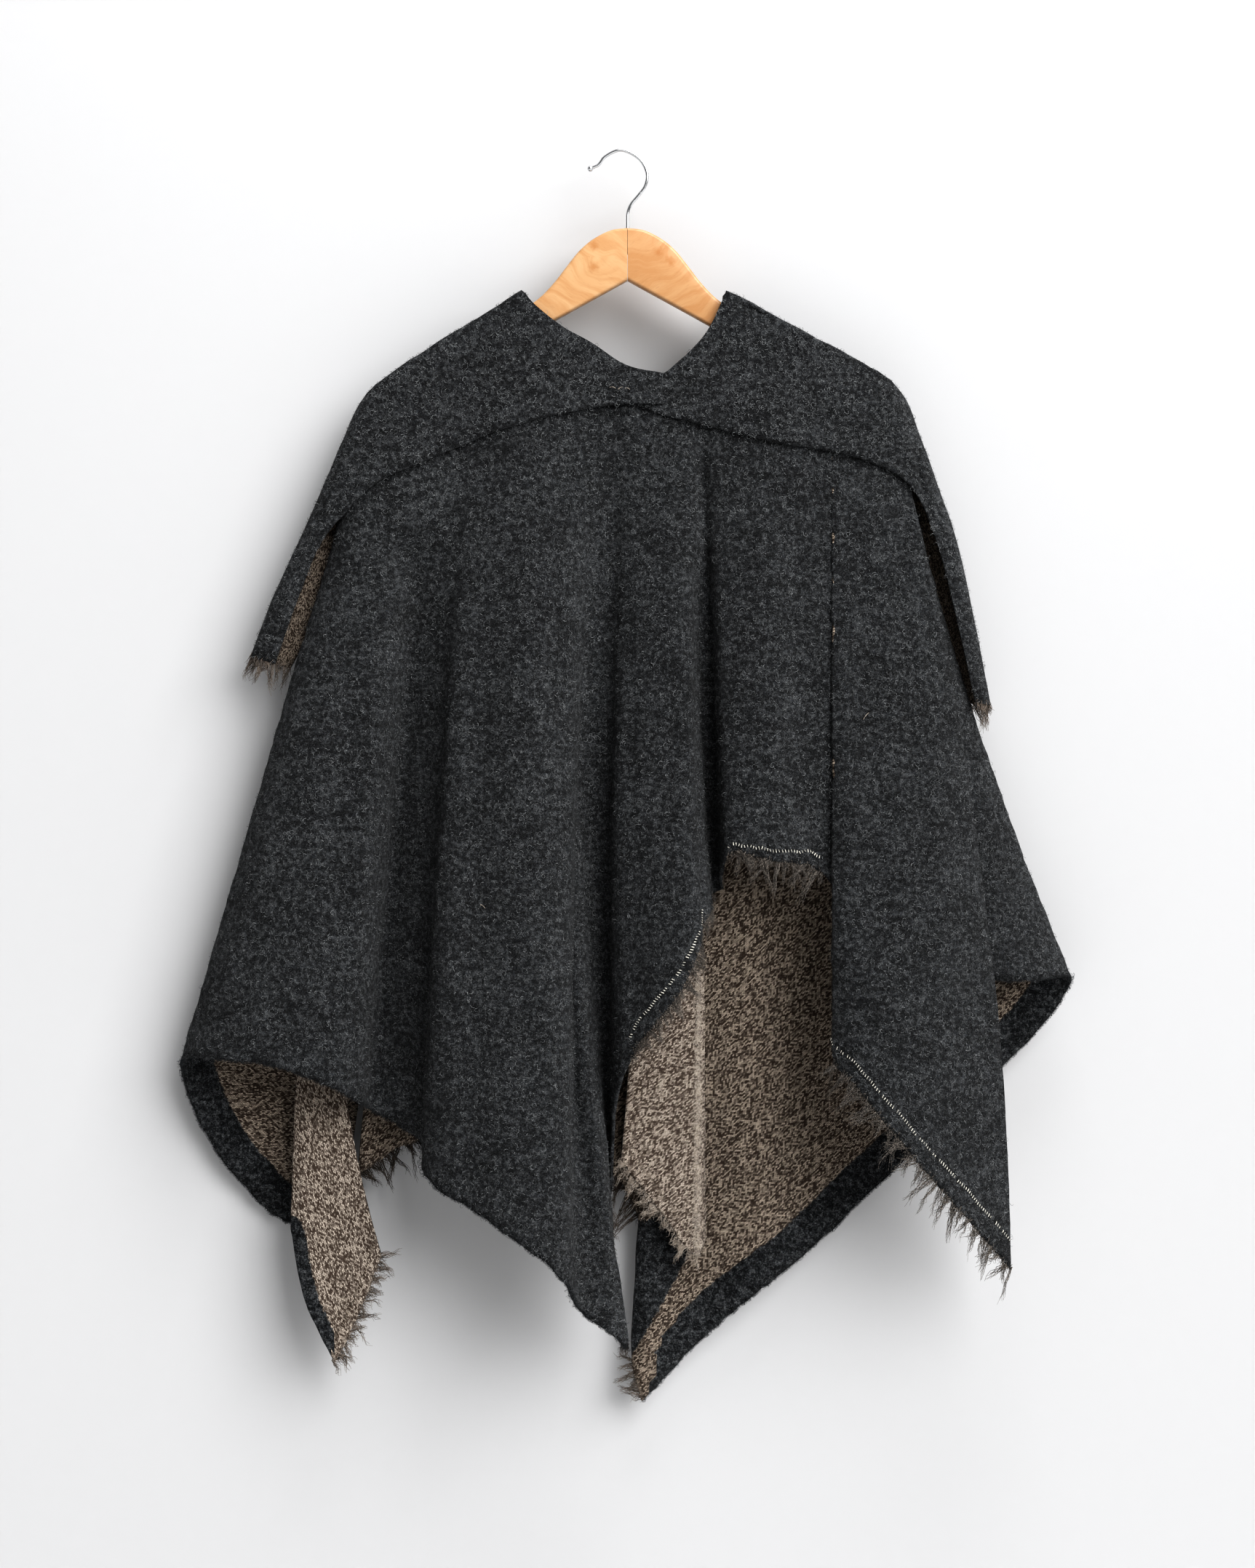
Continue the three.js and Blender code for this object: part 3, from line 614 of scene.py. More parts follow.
def map_cloth(made, start, end, quarter=0.0):
    """Lays the cloth flat as its own map in metres, with the line between two points level."""
    mesh = made.data
    mesh.uv_layers.new(name="cloth")
    bpy.context.view_layer.objects.active = made
    made.select_set(True)
    bpy.ops.object.mode_set(mode="EDIT")
    bpy.ops.mesh.select_all(action="SELECT")
    bpy.ops.uv.unwrap(method="CONFORMAL", margin=0.0)
    bpy.ops.object.mode_set(mode="OBJECT")
    made.select_set(False)
    flat = mesh.uv_layers["cloth"].data
    near = []
    for target in (start * MM, end * MM):
        away = [(mesh.vertices[loop.vertex_index].co - target).length_squared for loop in mesh.loops]
        near.append(flat[away.index(min(away))].uv.copy())
    first, last = near
    real = sum(polygon.area for polygon in mesh.polygons)
    drawn = sum(abs(flat_area([flat[i].uv for i in polygon.loop_indices])) for polygon in mesh.polygons)
    grow = math.sqrt(real / drawn)
    turn = quarter - math.atan2(last.y - first.y, last.x - first.x)
    c, s = math.cos(turn) * grow, math.sin(turn) * grow
    for corner in flat:
        x, y = corner.uv - first
        corner.uv = (c * x - s * y, s * x + c * y)


def flat_area(corners):
    """The signed area of a polygon of flat points."""
    pairs = zip(corners, [*corners[1:], corners[0]])
    return 0.5 * sum(a.x * b.y - a.y * b.x for a, b in pairs)


BACK_CELLS = 8
BACK_DOWN = 96
OUTER = outer_material("boucle_outer")
INNER = inner_material("weave_inner", (0.49, 0.415, 0.34), (0.046, 0.031, 0.022), (0.011, 0.008, 0.006))
BACK_CREASES = [
    (150, -230, 205, -620, 26, 5.0), (40, -300, 78, -700, 22, -4.0), (-95, -250, -120, -640, 24, 4.5),
    (-10, -260, -52, -560, 20, -3.5), (-150, -300, -196, -700, 22, 3.5), (105, -420, 150, -820, 24, 4.0),
    (20, -520, 44, -960, 20, 3.0), (-60, -600, -60, -840, 20, -2.5), (196, -320, 262, -700, 20, -3.5),
]


TURN_FROM = Vector((9, -1034))
TURN_TO = Vector((62, -940))
TURN_LOW = -1040
TURN_HIGH = -905
TURN_RIGHT = 70
TURN_REACH = 12


def dark_turn(point):
    """Inside the dark corner that lies left of a slanting line on the back cloth's inner face."""
    x, z = point.x / MM, point.z / MM
    if z < TURN_LOW or z > TURN_HIGH or x < 0 or x > TURN_RIGHT:
        return 1.0
    slant = TURN_TO - TURN_FROM
    across = ((x - TURN_FROM.x) * slant.y - (z - TURN_FROM.y) * slant.x) / slant.length
    return SELVEDGE_WIDTH + (across + 1.0) * MM if across < TURN_REACH else 1.0


def hung_cloth(name, grid, inner, edges, map_line, quarter=0.0):
    """The sheet of a hanging cloth, with its map laid level along a line."""
    made = cloth_sheet(name, [grid], (OUTER, inner), edges)
    map_cloth(made, *map_line, quarter)
    return made


back_grid = worked_grid(drape(BACK, BACK_DOWN, BACK_CELLS), [], BACK_CREASES, 11.0)
back_selvedge = range(0, column_of(back_grid, BACK, "back corner") + 1)
back_cloth = hung_cloth("back_cloth_wool", back_grid, INNER,
                        selvedge_depth(back_grid, back_selvedge, dark_turn),
                        hem_points(back_grid, BACK, "back corner", "back valley 1"))
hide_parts("back_cloth")


# Tail and pleat of the back cloth: its lower left corner swings forward out of the left side,
# and its raw end is pleated forward inside the opening at the middle. Both show the inner face.
TAIL = [
    ("tail right edge", -240, 15.2, -590, -204, -5, -940, -18, 0),
    ("tail frayed side", -247, 15.6, -590, -228, -12, -1000, -6, 0),
    ("tail tip", -257, 16.0, -590, -243, -15, -1030, 0, 1),
    ("tail band", -268, 16.4, -600, -268, -13, -978, 0, 0),
    ("tail fold", -275, 17.2, -610, -281, -4, -918, 0, 0),
]
PLEAT = [
    ("pleat return", 70, 13.0, -702, 71, 17.8, -930, 0, 0),
    ("pleat ridge", 65, 10.4, -698, 63, 5, -942, 0, 0),
    ("pleat middle", 38, 7.2, -650, 33, 1, -904, 0, 0),
    ("pleat frayed corner", 8, 4.5, -620, -1, -4, -859, 4, 0),
]
STRIP_CELLS = 8
STRIP_DOWN = 64
TAIL_BAND_LOSS = 0.018
# The tail and pleat get a lighter copy of the inner weave's colours: painted light, for parts of the same
# cloth that catch more light.
LIT_WEAVE = inner_material("weave_turned_lit", (0.62, 0.54, 0.46), (0.082, 0.058, 0.044), (0.018, 0.013, 0.010))
tail_grid = worked_grid(drape(TAIL, STRIP_DOWN, STRIP_CELLS), [], [], 23.0)
tail_selvedge = range(column_of(tail_grid, TAIL, "tail tip") + 1, len(tail_grid[0]))
tail = hung_cloth("back_cloth_tail_wool", tail_grid, LIT_WEAVE,
                  selvedge_depth(tail_grid, tail_selvedge, shift=TAIL_BAND_LOSS),
                  hem_points(tail_grid, TAIL, "tail tip", "tail fold"))
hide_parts("back_cloth_tail")
pleat_grid = worked_grid(drape(PLEAT, STRIP_DOWN, STRIP_CELLS), [], [], 31.0)
pleat = hung_cloth("back_cloth_pleat_wool", pleat_grid, LIT_WEAVE, None,
                   hem_points(pleat_grid, PLEAT, "pleat ridge", "pleat frayed corner"), math.radians(90))
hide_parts("back_cloth_pleat")


# Front cloth: the upper layer of the wrap, from the back left round the left side and in deep
# folds across the front to its raw end at the front right. Its corner hangs lowest at the middle.
FRONT = [
    ("back left end", -142, 11.3, -181, -238, 34, -896, 0, 0),
    ("back left low", -166, 11.3, -195, -284, 35, -918, 0, 0),
    ("back left", -186, 11.3, -208, -329, 30, -881, 0, 0),
    ("back left outer", -202, 8.8, -220, -364, 21, -827, 0, 0),
    ("left side fold", -214, 0.5, -227, -374, -2, -774, 0, 0),
    ("left field outer", -202, -7.2, -219, -341, -34, -771, 0, 0),
    ("left field", -181, -8.0, -205, -284, -46, -777, 0, 0),
    ("left field inner", -158, -8.0, -192, -224, -43, -803, 3, 0),
    ("valley 1", -138, -8.0, -180, -177, -30, -835, 5, 0),
    ("valley 1 right", -127, -8.0, -174, -160, -46, -866, 5, 0),
    ("ridge 2 left", -98, -8.5, -166, -118, -76, -895, 0, 0),
    ("ridge 2 crest", -55, -8.5, -178, -59, -92, -936, -7, 0),
    ("front corner", -14, -8.0, -193, 2, -60, -1010, -24, 1),
    ("valley 2", -1, -8.0, -198, -9, -10, -908, -7, 0),
    ("panel 3 left", 12, -8.5, -204, 9, -46, -769, 0, 0),
    ("panel 3 crest", 36, -8.5, -204, 50, -62, -710, 0, 0),
    ("panel 3 right", 58, -8.0, -199, 73, -44, -657, -4, 0),
    ("valley 3", 67, -8.0, -194, 80, -6, -632, 0, 0),
    ("middle left", 76, -8.5, -190, 91, -38, -597, 0, 0),
    ("middle crest", 132, -9.5, -167, 127, -45, -603, 0, 0),
    ("middle right", 168, -11.0, -185, 168, -37, -613, 0, 0),
    ("pleat back", 175, -11.2, -187, 197, -46, -680, 0, 0),
    ("pleat turn", 180, -11.3, -189, 177, -58, -768, 0, 0),
    ("right panel inner", 189, -11.3, -193, 194, -70, -789, 0, 0),
    ("right panel crest", 205, -11.3, -202, 252, -74, -860, 13, 0),
    ("right panel edge", 226, -11.3, -214, 325, -48, -944, 24, 0),
]
FRONT_CELLS = 8
FRONT_DOWN = 100
# Each crease runs from x, z to x, z, with its width and how far it pushes the cloth out.
FRONT_CREASES = [
    (-166, -330, -212, -1080, 38, -28.0), (-173, -340, -216, -1080, 16, -13.0),
    (-137, -360, -152, -1060, 26, 11.0), (-20, -300, -25, -1080, 24, -24.0), (-10, -330, -4, -1080, 20, 10.0),
    (67, -340, 80, -760, 14, -11.0), (-68, -320, -100, -620, 30, 3.5), (-249, -380, -309, -650, 30, 3.0),
    (-213, -405, -250, -690, 24, -3.5), (-275, -560, -332, -760, 22, -2.5), (199, -305, 219, -700, 26, -3.0),
    (256, -340, 276, -740, 24, 3.0), (292, -470, 312, -720, 15, -3.5), (120, -310, 124, -560, 26, 2.0),
    (148, -330, 152, -590, 16, -1.6), (40, -420, 34, -650, 18, -2.2), (-128, -600, -150, -820, 18, 2.5),
    (-84, -690, -66, -900, 20, -2.4), (-290, -700, -240, -740, 16, 2.0),
]
FRONT_BACK_CREASES = [(-196, -300, -300, -700, 26, 4.0), (-170, -280, -240, -760, 22, -3.5)]
front_draped = drape(FRONT, FRONT_DOWN, FRONT_CELLS)
front_grid = worked_grid(front_draped, FRONT_CREASES, FRONT_BACK_CREASES, 3.0)
front_selvedge = range(0, column_of(front_grid, FRONT, "front corner") + 1)
front_cloth = hung_cloth("front_cloth_wool", front_grid, INNER, selvedge_depth(front_grid, front_selvedge),
                         hem_points(front_grid, FRONT, "valley 1 right", "front corner"))
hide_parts("front_cloth")


# Shoulder cloths: the top of the wrap, laid over the hanger with a layer in front and one behind.
# The left one overlaps the right one at the middle, and both end frayed beside the sleeves.
SHOULDER_LEFT = [
    ("centre", 35, -191, 35, -217, 3.6, 1.0), ("overlap", 4, -184, 0, -217, 3.6, 1.1),
    ("neck 1", -25, -165, -40, -223, 0, 1.2), ("neck 2", -48, -152, -68, -229, 0, 1.25),
    ("neck 3", -67, -138, -92, -236, 0, 1.3), ("neck corner", -85, -121, -112, -242, 0, 1.3),
    ("shoulder 1", -121, -144, -135, -252, 0, 1.3), ("shoulder 2", -161, -168, -155, -260, 0, 1.35),
    ("shoulder 3", -195, -191, -178, -270, 0, 1.4), ("shoulder end", -219, -211, -198, -278, 0, 1.5),
    ("upper arm 1", -236, -246, -213, -288, 0, 1.6), ("upper arm 2", -253, -286, -229, -303, 0, 1.8),
    ("upper arm 3", -272, -329, -254, -333, 0, 2.2), ("upper arm 4", -295, -379, -275, -383, 0, 2.0),
    ("frayed end", -315, -431, -294, -437, 0, 1.5),
]
SHOULDER_RIGHT = [
    ("centre", 14, -189, 14, -217, 0, 1.0), ("neck bottom", 32, -192, 35, -226, 0, 1.1),
    ("neck 1", 51, -178, 60, -232, 0, 1.2), ("neck 2", 67, -162, 82, -238, 0, 1.25),
    ("neck 3", 77, -147, 101, -243, 0, 1.3), ("neck corner", 89, -121, 122, -248, 0, 1.3),
    ("shoulder 1", 122, -138, 142, -252, 0, 1.3), ("shoulder 2", 165, -162, 165, -255, 0, 1.35),
    ("shoulder 3", 205, -183, 190, -260, 0, 1.4), ("shoulder end", 237, -206, 214, -268, 0, 1.5),
    ("upper arm 1", 254, -246, 233, -277, 0, 1.6), ("upper arm 2", 267, -282, 249, -293, 0, 1.8),
    ("upper arm 3", 284, -332, 267, -333, 0, 2.0), ("upper arm 4", 299, -399, 284, -399, 0, 2.0),
    ("frayed end", 313, -472, 300, -470, 0, 1.6),
]
SHOULDER_CELLS = 6
SHOULDER_ROLL = 11
SHOULDER_STEPS = (0, 0.35, 1.2, 2.6, 4.5, 7.5, 11)
SHOULDER_ROWS = 12
SHOULDER_HALF = 12
LAYER_GAP = 0.4
BACK_LOOSE = 0.9
level_lines = {}


def body_depth(x, z, side, reach):
    """How far the hanging cloth stands out from the middle plane near a place."""
    level = round(z / 4) * 4
    if level not in level_lines:
        found = []
        for rows in (FRONT, BACK):
            points = []
            for row in rows:
                v = (level - row[3]) / (row[6] - row[3])
                points.append(fold_point(row, min(max(v, 0.0), 1.0)))
            found += smooth_run(points, 6)
        level_lines[level] = found
    return max([0.0, *(p.y * side for p in level_lines[level] if abs(p.x - x) < reach)])


def blend_column(rows, i, column):
    """A value of the shoulder table between two of its rows."""
    row = min(i // SHOULDER_CELLS, len(rows) - 2)
    t = i / SHOULDER_CELLS - row
    return rows[row][column] * (1 - t) + rows[row + 1][column] * t


def shoulder_grids(rows):
    """The front and the back layer over one shoulder, which meet along the shoulder line."""
    turns = [row[0] == "neck corner" for row in rows]
    upper = smooth_line([Vector((row[1], 0, row[2])) for row in rows], turns, SHOULDER_CELLS)
    lower = smooth_line([Vector((row[3], 0, row[4])) for row in rows], turns, SHOULDER_CELLS)
    ridge = upper[turns.index(True) * SHOULDER_CELLS:]

    def from_ridge(place):
        nearest = 1e9
        for a, b in zip(ridge, ridge[1:]):
            along = b - a
            t = min(max((place - a).dot(along) / along.length_squared, 0.0), 1.0)
            nearest = min(nearest, (place - a - along * t).length)
        return nearest

    def column(i, side):
        reach = 1 if side < 0 else blend_column(rows, i, 6)
        way = (lower[i] - upper[i]) * reach
        length = way.length
        roll = min(SHOULDER_ROLL, length * 0.55)
        distances = [d * roll / SHOULDER_ROLL for d in SHOULDER_STEPS]
        distances += [roll + (length - roll) * k / SHOULDER_ROWS for k in range(1, SHOULDER_ROWS + 1)]
        clear = WALL + LAYER_GAP + (BACK_LOOSE if side > 0 else 0)
        line = []
        for distance in distances:
            point = upper[i] + way * (distance / length)
            below = body_depth(point.x, point.z, side, 4)
            half = max(body_depth(point.x, point.z, side, 9) + clear, SHOULDER_HALF)
            half += blend_column(rows, i, 5)
            near = min(from_ridge(point) / SHOULDER_ROLL, 1.0)
            rolled = half * math.sqrt(1 - (1 - near) ** 2)
            over_cloth = below + clear if below > 0 and near > 0 else 0
            line.append(Vector((point.x, side * max(rolled, over_cloth), point.z)))
        return line

    columns = {side: [column(i, side) for i in range(len(upper))] for side in (-1, 1)}
    step = 1 if rows[-1][1] > 0 else -1
    front = [list(line)[::step] for line in zip(*columns[-1])]
    back = [list(line)[::step] for line in zip(*[line[::-1] for line in columns[1]])]
    return front, back


SHOULDER_CREASES = [
    (-110, -172, 22, -206, 12, 1.8), (-150, -214, -60, -221, 10, -1.3), (60, -202, 150, -236, 12, 1.8),
    (150, -182, 222, -252, 12, 1.6), (-190, -204, -228, -290, 10, -1.4), (108, -150, 180, -196, 10, -1.3),
]


def shoulder_cloth(name, rows, node, seed):
    """One shoulder cloth with its creases and its relief."""
    def depth(point, way):
        creases = crease_depth(point.x, point.z, SHOULDER_CREASES) if way.y < 0 else 0
        return (relief(point, seed) + creases) * min(abs(point.y) / 8, 0.7)

    worked = [pushed(grid, depth) for grid in shoulder_grids(rows)]
    made = cloth_sheet(name, worked, (OUTER, INNER))
    hem = worked[0][-1]
    middle = (len(hem) - 1) // 2
    map_cloth(made, hem[middle], hem[middle + 3 * SHOULDER_CELLS])
    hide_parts(node)
    return made, worked


shoulder_left, left_grids = shoulder_cloth(
    "shoulder_left_wool", SHOULDER_LEFT, "shoulder_cloth_left", 41.0)
shoulder_right, right_grids = shoulder_cloth(
    "shoulder_right_wool", SHOULDER_RIGHT, "shoulder_cloth_right", 57.0)


# Frayed ends: where the cloth is cut across, its threads are pulled out into a ragged fringe of
# curling wool yarn, taupe and brown, held by the weave just above it.
def fray_material(name, deep, mid, pale):
    """Loose wool threads of mixed browns."""
    made, tree, shader = finish(name, mid, 0.9, Specular_IOR_Level=0.15, Sheen_Weight=0.15,
                                Sheen_Roughness=0.4)
    coords = object_place(tree)
    tufts = smooth_step(tree, coarse_noise(tree, coords, 170.0, 3.0, 0.6), 0.36, 0.62)
    strands = smooth_step(tree, coarse_noise(tree, coords, 900.0, 2.0, 0.6), 0.4, 0.66)
    tone = mix_color(tree, tufts, (*deep, 1.0), (*mid, 1.0))
    share = math_node(tree, "MULTIPLY", strands, 0.7)
    tree.links.new(mix_color(tree, share, tone, (*pale, 1.0)), shader.inputs["Base Color"])
    return made


def thread(root, way, tangent, normal, length, droop, curl, rng, steps):
    """One loose thread: it leaves its root straight, then droops and curls."""
    phase, turns = rng.uniform(0, FULL_TURN), rng.uniform(0.7, 2.0)
    line = []
    for k in range(steps + 1):
        t = k / steps
        angle = phase + turns * FULL_TURN * t
        side = tangent * (curl * t * math.sin(angle))
        point = root + way * (length * t) + side + normal * (curl * t * math.cos(angle) * 0.6)
        point.z -= droop * length * t * t
        line.append(point * MM)
    return line


FULL_TURN = 6.28
TUFT_THREADS = 2.1
FUZZ_THREADS = 1.7
THREAD_RADIUS = 0.30


def frayed_end(name, node, material, edge, inner, seed, longest):
    """The fringe on a raw edge: tufts of threads that run together at their tips, and short fuzz."""
    rng = random.Random(seed)
    steps = [0.0]
    for a, b in zip(edge, edge[1:]):
        steps.append(steps[-1] + (b - a).length)
    total = steps[-1]

    def place(distance):
        distance = min(max(distance, 0.0), total)
        k = next((i for i, s in enumerate(steps[1:]) if s >= distance), len(steps) - 2)
        t = (distance - steps[k]) / max(steps[k + 1] - steps[k], 1e-6)
        point = edge[k].lerp(edge[k + 1], t)
        tangent = (edge[k + 1] - edge[k]).normalized()
        onward = square_to(point - inner[k].lerp(inner[k + 1], t), tangent)
        return point, tangent, onward, tangent.cross(onward)

    lines = []
    distance = 0.0
    while distance < total:
        width = rng.uniform(3.0, 7.5)
        middle = distance + width / 2
        _, tangent, onward, normal = place(middle)
        size = longest * rng.uniform(0.35, 1.0)
        lean = onward + tangent * rng.uniform(-0.85, 0.85) + normal * rng.uniform(-0.15, 0.15)
        for _ in range(round(width * TUFT_THREADS)):
            offset = rng.uniform(-0.5, 0.5) * width
            root, along, out, across = place(middle + offset)
            root = root - out * rng.uniform(0.5, 3.0) + across * rng.uniform(-1.2, 1.2)
            way = (lean - tangent * (1.1 * offset / size)).normalized()
            length = size * rng.uniform(0.65, 1.05)
            droop, curl = rng.uniform(0.05, 0.3), rng.uniform(0.7, 3.0)
            lines.append(thread(root, way, along, across, length, droop, curl, rng, 6))
        distance += width
    for _ in range(round(total * FUZZ_THREADS)):
        root, along, out, across = place(rng.uniform(0, total))
        root = root - out * rng.uniform(0.0, 4.0) + across * rng.choice((-1.5, 1.5)) * rng.uniform(0.6, 1.0)
        way = (out + along * rng.uniform(-0.8, 0.8) + across * rng.uniform(-0.35, 0.35)).normalized()
        length, curl = rng.uniform(4, 11), rng.uniform(0.8, 2.6)
        lines.append(thread(root, way, along, across, length, 0.1, curl, rng, 4))
    made = wires(name, lines, THREAD_RADIUS * MM, taper=lambda t: 1.0 - 0.68 * t)
    made.data.shade_smooth()
    made.data.materials.append(material)
    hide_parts(node)
    return made


def hem_part(grid, rows, first, last):
    """The points of a hem between two fold lines, and the points a little way in."""
    start, end = sorted((column_of(grid, rows, first), column_of(grid, rows, last)))
    return [line[start:end + 1] for line in (grid[-1], grid[-2])]


FRAY_TAUPE = fray_material("fray_taupe", (0.034, 0.030, 0.028), (0.155, 0.125, 0.105), (0.36, 0.31, 0.26))
FRAY_DUSK = fray_material("fray_dusk", (0.012, 0.0118, 0.012), (0.062, 0.056, 0.051), (0.36, 0.32, 0.28))
FRAY_DARK = fray_material("fray_dark", (0.012, 0.010, 0.009), (0.050, 0.038, 0.031), (0.16, 0.13, 0.105))
FRAY_CREAM = fray_material("fray_cream", (0.10, 0.08, 0.066), (0.40, 0.34, 0.28), (0.66, 0.60, 0.53))
FRONT_FRAYS = (
    ("right_panel", "fringe_front_right", FRAY_DUSK, "right panel edge", "pleat turn", 11, 30),
    ("middle", "fringe_front_middle", FRAY_DUSK, "middle right", "middle left", 23, 34),
    ("panel", "fringe_front_panel", FRAY_DUSK, "valley 3", "panel 3 left", 37, 20),
    ("corner", "fringe_front_corner", FRAY_DARK, "valley 2", "front corner", 41, 16),
)
BACK_FRAYS = (
    ("back_end", "fringe_back_end", FRAY_DARK, "corner turn", "back left inner", 53, 30),
    ("back_corner", "fringe_back_corner", FRAY_TAUPE, "back corner", "corner low", 67, 24),
)


def hem_frays(grid, rows, table):
    """The frayed stretches of one hem, each between two fold lines."""
    return [frayed_end("fray_" + name, node, material, *hem_part(grid, rows, first, last), seed, longest)
            for name, node, material, first, last, seed, longest in table]


fringes_front = hem_frays(front_grid, FRONT, FRONT_FRAYS)
fringes_back = hem_frays(back_grid, BACK, BACK_FRAYS)
fray_pleat, = hem_frays(pleat_grid, PLEAT, [
    ("pleat", "fringe_back_pleat", FRAY_CREAM, "pleat ridge", "pleat frayed corner", 71, 19)])
fray_tail, = hem_frays(tail_grid, TAIL, [
    ("tail", "fringe_tail", FRAY_TAUPE, "tail tip", "tail right edge", 83, 22)])


def sleeve_end(grids):
    """The raw end of a shoulder cloth: its points from the front lower corner over to the back."""
    at_right = abs(grids[0][-1][-1].x) > abs(grids[0][-1][0].x)
    outer, inner = (-1, -2) if at_right else (0, 1)
    front, back = (grid[::-1] for grid in grids)
    return [[line[place] for line in [*front, *back[1:]]] for place in (outer, inner)]


fray_left_sleeve = frayed_end("fray_left_sleeve", "fringe_shoulder_left", FRAY_TAUPE,
                              *sleeve_end(left_grids), 97, 24)
fray_right_sleeve = frayed_end("fray_right_sleeve", "fringe_shoulder_right", FRAY_TAUPE,
                               *sleeve_end(right_grids), 101, 24)


# Stitching: a fine cream zigzag is sewn across each raw end, 5 to 24 mm in from its edge, so
# that it frays no further. On the inner face it shows as a darker dotted line.
STITCH_PITCH = 2.5
STITCH_REACH = 1.25
STITCH_RADIUS = 0.36
STITCH_LIFT = 0.35
STITCH_MISSING = 0.12


def stitches(name, edge, inner, color, seed):
    """A zigzag of short thread lengths along an edge, on the face that is turned to the front."""
    rng = random.Random(seed)
    lines = []
    walked = 0.0
    for k in range(len(edge) - 1):
        span = edge[k + 1] - edge[k]
        tangent = span.normalized()
        onward = square_to(edge[k] - inner[k], tangent)
        across = tangent.cross(onward)
        across = across if across.y < 0 else -across
        while walked < span.length:
            middle = inner[k].lerp(inner[k + 1], walked / span.length) + across * (WALL / 2 + STITCH_LIFT)
            if rng.random() > STITCH_MISSING:
                tilt = tangent * rng.uniform(0.1, 0.5)
                half = onward * (STITCH_REACH * rng.uniform(0.7, 1.1))
                ends = [middle + half + tilt, middle + across * 0.22, middle - half - tilt]
                lines.append([p * MM for p in ends])
            walked += STITCH_PITCH
        walked -= span.length
    made = wires(name, lines, STITCH_RADIUS * MM)
    thread_made, tree, shader = finish(name + "_thread", color, 0.6, Specular_IOR_Level=0.3)
    # Some lengths of thread are darker than others, by a noise that scales the colour.
    uneven_tone = smooth_step(tree, coarse_noise(tree, object_place(tree), 420.0), 0.35, 0.65, 0.45, 1.0)
    tree.links.new(scaled(tree, color, uneven_tone), shader.inputs["Base Color"])
    made.data.materials.append(thread_made)
    return made


def point_inside(grid, column, inset):
    """The point that far up the cloth from a place of its hem."""
    rest = inset
    for upper, lower in zip(grid[-2::-1], grid[::-1]):
        span = (lower[column] - upper[column]).length
        if rest <= span:
            break
        rest -= span
    return lower[column].lerp(upper[column], rest / span)


def hem_stitches(name, grid, rows, first, last, color, insets, seed):
    """Stitching along a hem between two fold lines, at an inset that runs between two sizes."""
    start, end = sorted((column_of(grid, rows, first), column_of(grid, rows, last)))
    inner = [point_inside(grid, i, insets[0] + (insets[1] - insets[0]) * (i - start) / (end - start))
             for i in range(start, end + 1)]
    return stitches(name, grid[-1][start:end + 1], inner, color, seed)


STRAY_RADIUS = 0.34
STRAY_LIFT = 0.9


def stray_threads(name, grids, places):
    """Short cream thread ends lying on the front: each from its place by so much, sideways and up."""
    lines = []
    for x, z, across, up in places:
        line = []
        for k in range(4):
            target = Vector((x + across * k / 3, 0, z + up * k / 3 + 0.8 * math.sin(math.pi * k / 3)))
            on_front = (p for grid in grids for row in grid for p in row if p.y < 0)
            nearest = min(on_front, key=lambda p: (p.x - target.x) ** 2 + (p.z - target.z) ** 2)
            line.append(Vector((target.x, nearest.y - WALL / 2 - STRAY_LIFT, target.z)) * MM)
        lines.append(line)
    made = wires(name, lines, STRAY_RADIUS * MM, taper=lambda t: 1.0 - 0.4 * t)
    made.data.materials.append(FRAY_CREAM)
    return made


CREAM = (0.90, 0.87, 0.78)
DULL = (0.30, 0.25, 0.20)
FRONT_STITCHES = (
    ("stitch_right_panel", "pleat turn", "right panel edge", (16.0, 24.0), 1),
    ("stitch_middle", "middle left", "middle right", (5.0, 12.0), 2),
    ("stitch_panel", "panel 3 left", "panel 3 right", (19.0, 14.0), 3),
)
stitch_front = [hem_stitches(name, front_grid, FRONT, first, last, CREAM, insets, seed)
                for name, first, last, insets, seed in FRONT_STITCHES]
stitch_pleat = hem_stitches("stitch_pleat", pleat_grid, PLEAT, "pleat ridge", "pleat frayed corner", DULL,
                            (16.0, 16.0), 4)
stitch_tail = hem_stitches("stitch_tail", tail_grid, TAIL, "tail tip", "tail right edge", DULL,
                           (16.0, 20.0), 6)
stray_front = stray_threads("stray_front", [front_grid], [(203, -485, 5, 6), (-118, -640, 4, -3)])
stray_neck = stray_threads("stray_neck", left_grids[:1],
                           [(-10, -203, 5, -1), (-3, -205, 4, 2), (3, -204, 4, -1)])


# Loose hairs: the looped wool sheds pale curled hairs all over its outer face, and its edges are
# fuzzy with them.
def face_roots(grids, count, rng):
    """Places spread evenly over the outer face of grids: a point, the way out and a way along."""
    quads, weights = [], []
    for g, grid in enumerate(grids):
        for j in range(len(grid) - 1):
            for i in range(len(grid[0]) - 1):
                quads.append((g, j, i))
                weights.append((grid[j][i + 1] - grid[j][i]).cross(grid[j + 1][i] - grid[j][i]).length)
    for g, j, i in rng.choices(quads, weights, k=count):
        grid = grids[g]
        s, t = rng.random(), rng.random()
        top = grid[j][i].lerp(grid[j][i + 1], s)
        place = top.lerp(grid[j + 1][i].lerp(grid[j + 1][i + 1], s), t)
        along = (grid[j][i + 1] - grid[j][i]).normalized()
        out = (grid[j + 1][i] - grid[j][i]).cross(along).normalized()
        yield place + out * (WALL / 2), out, along


def edge_roots(grid, columns, spacing, rng):
    """Places along the hem of a grid, where hairs stand out past its edge."""
    for i in columns:
        along = grid[-1][i + 1] - grid[-1][i]
        out = square_to(grid[-1][i] - grid[-2][i], along)
        face = along.cross(out).normalized()
        for _ in range(round(along.length / spacing)):
            place = grid[-1][i] + along * rng.random() + face * rng.uniform(-WALL / 2, WALL / 2)
            yield place, out, along.normalized()


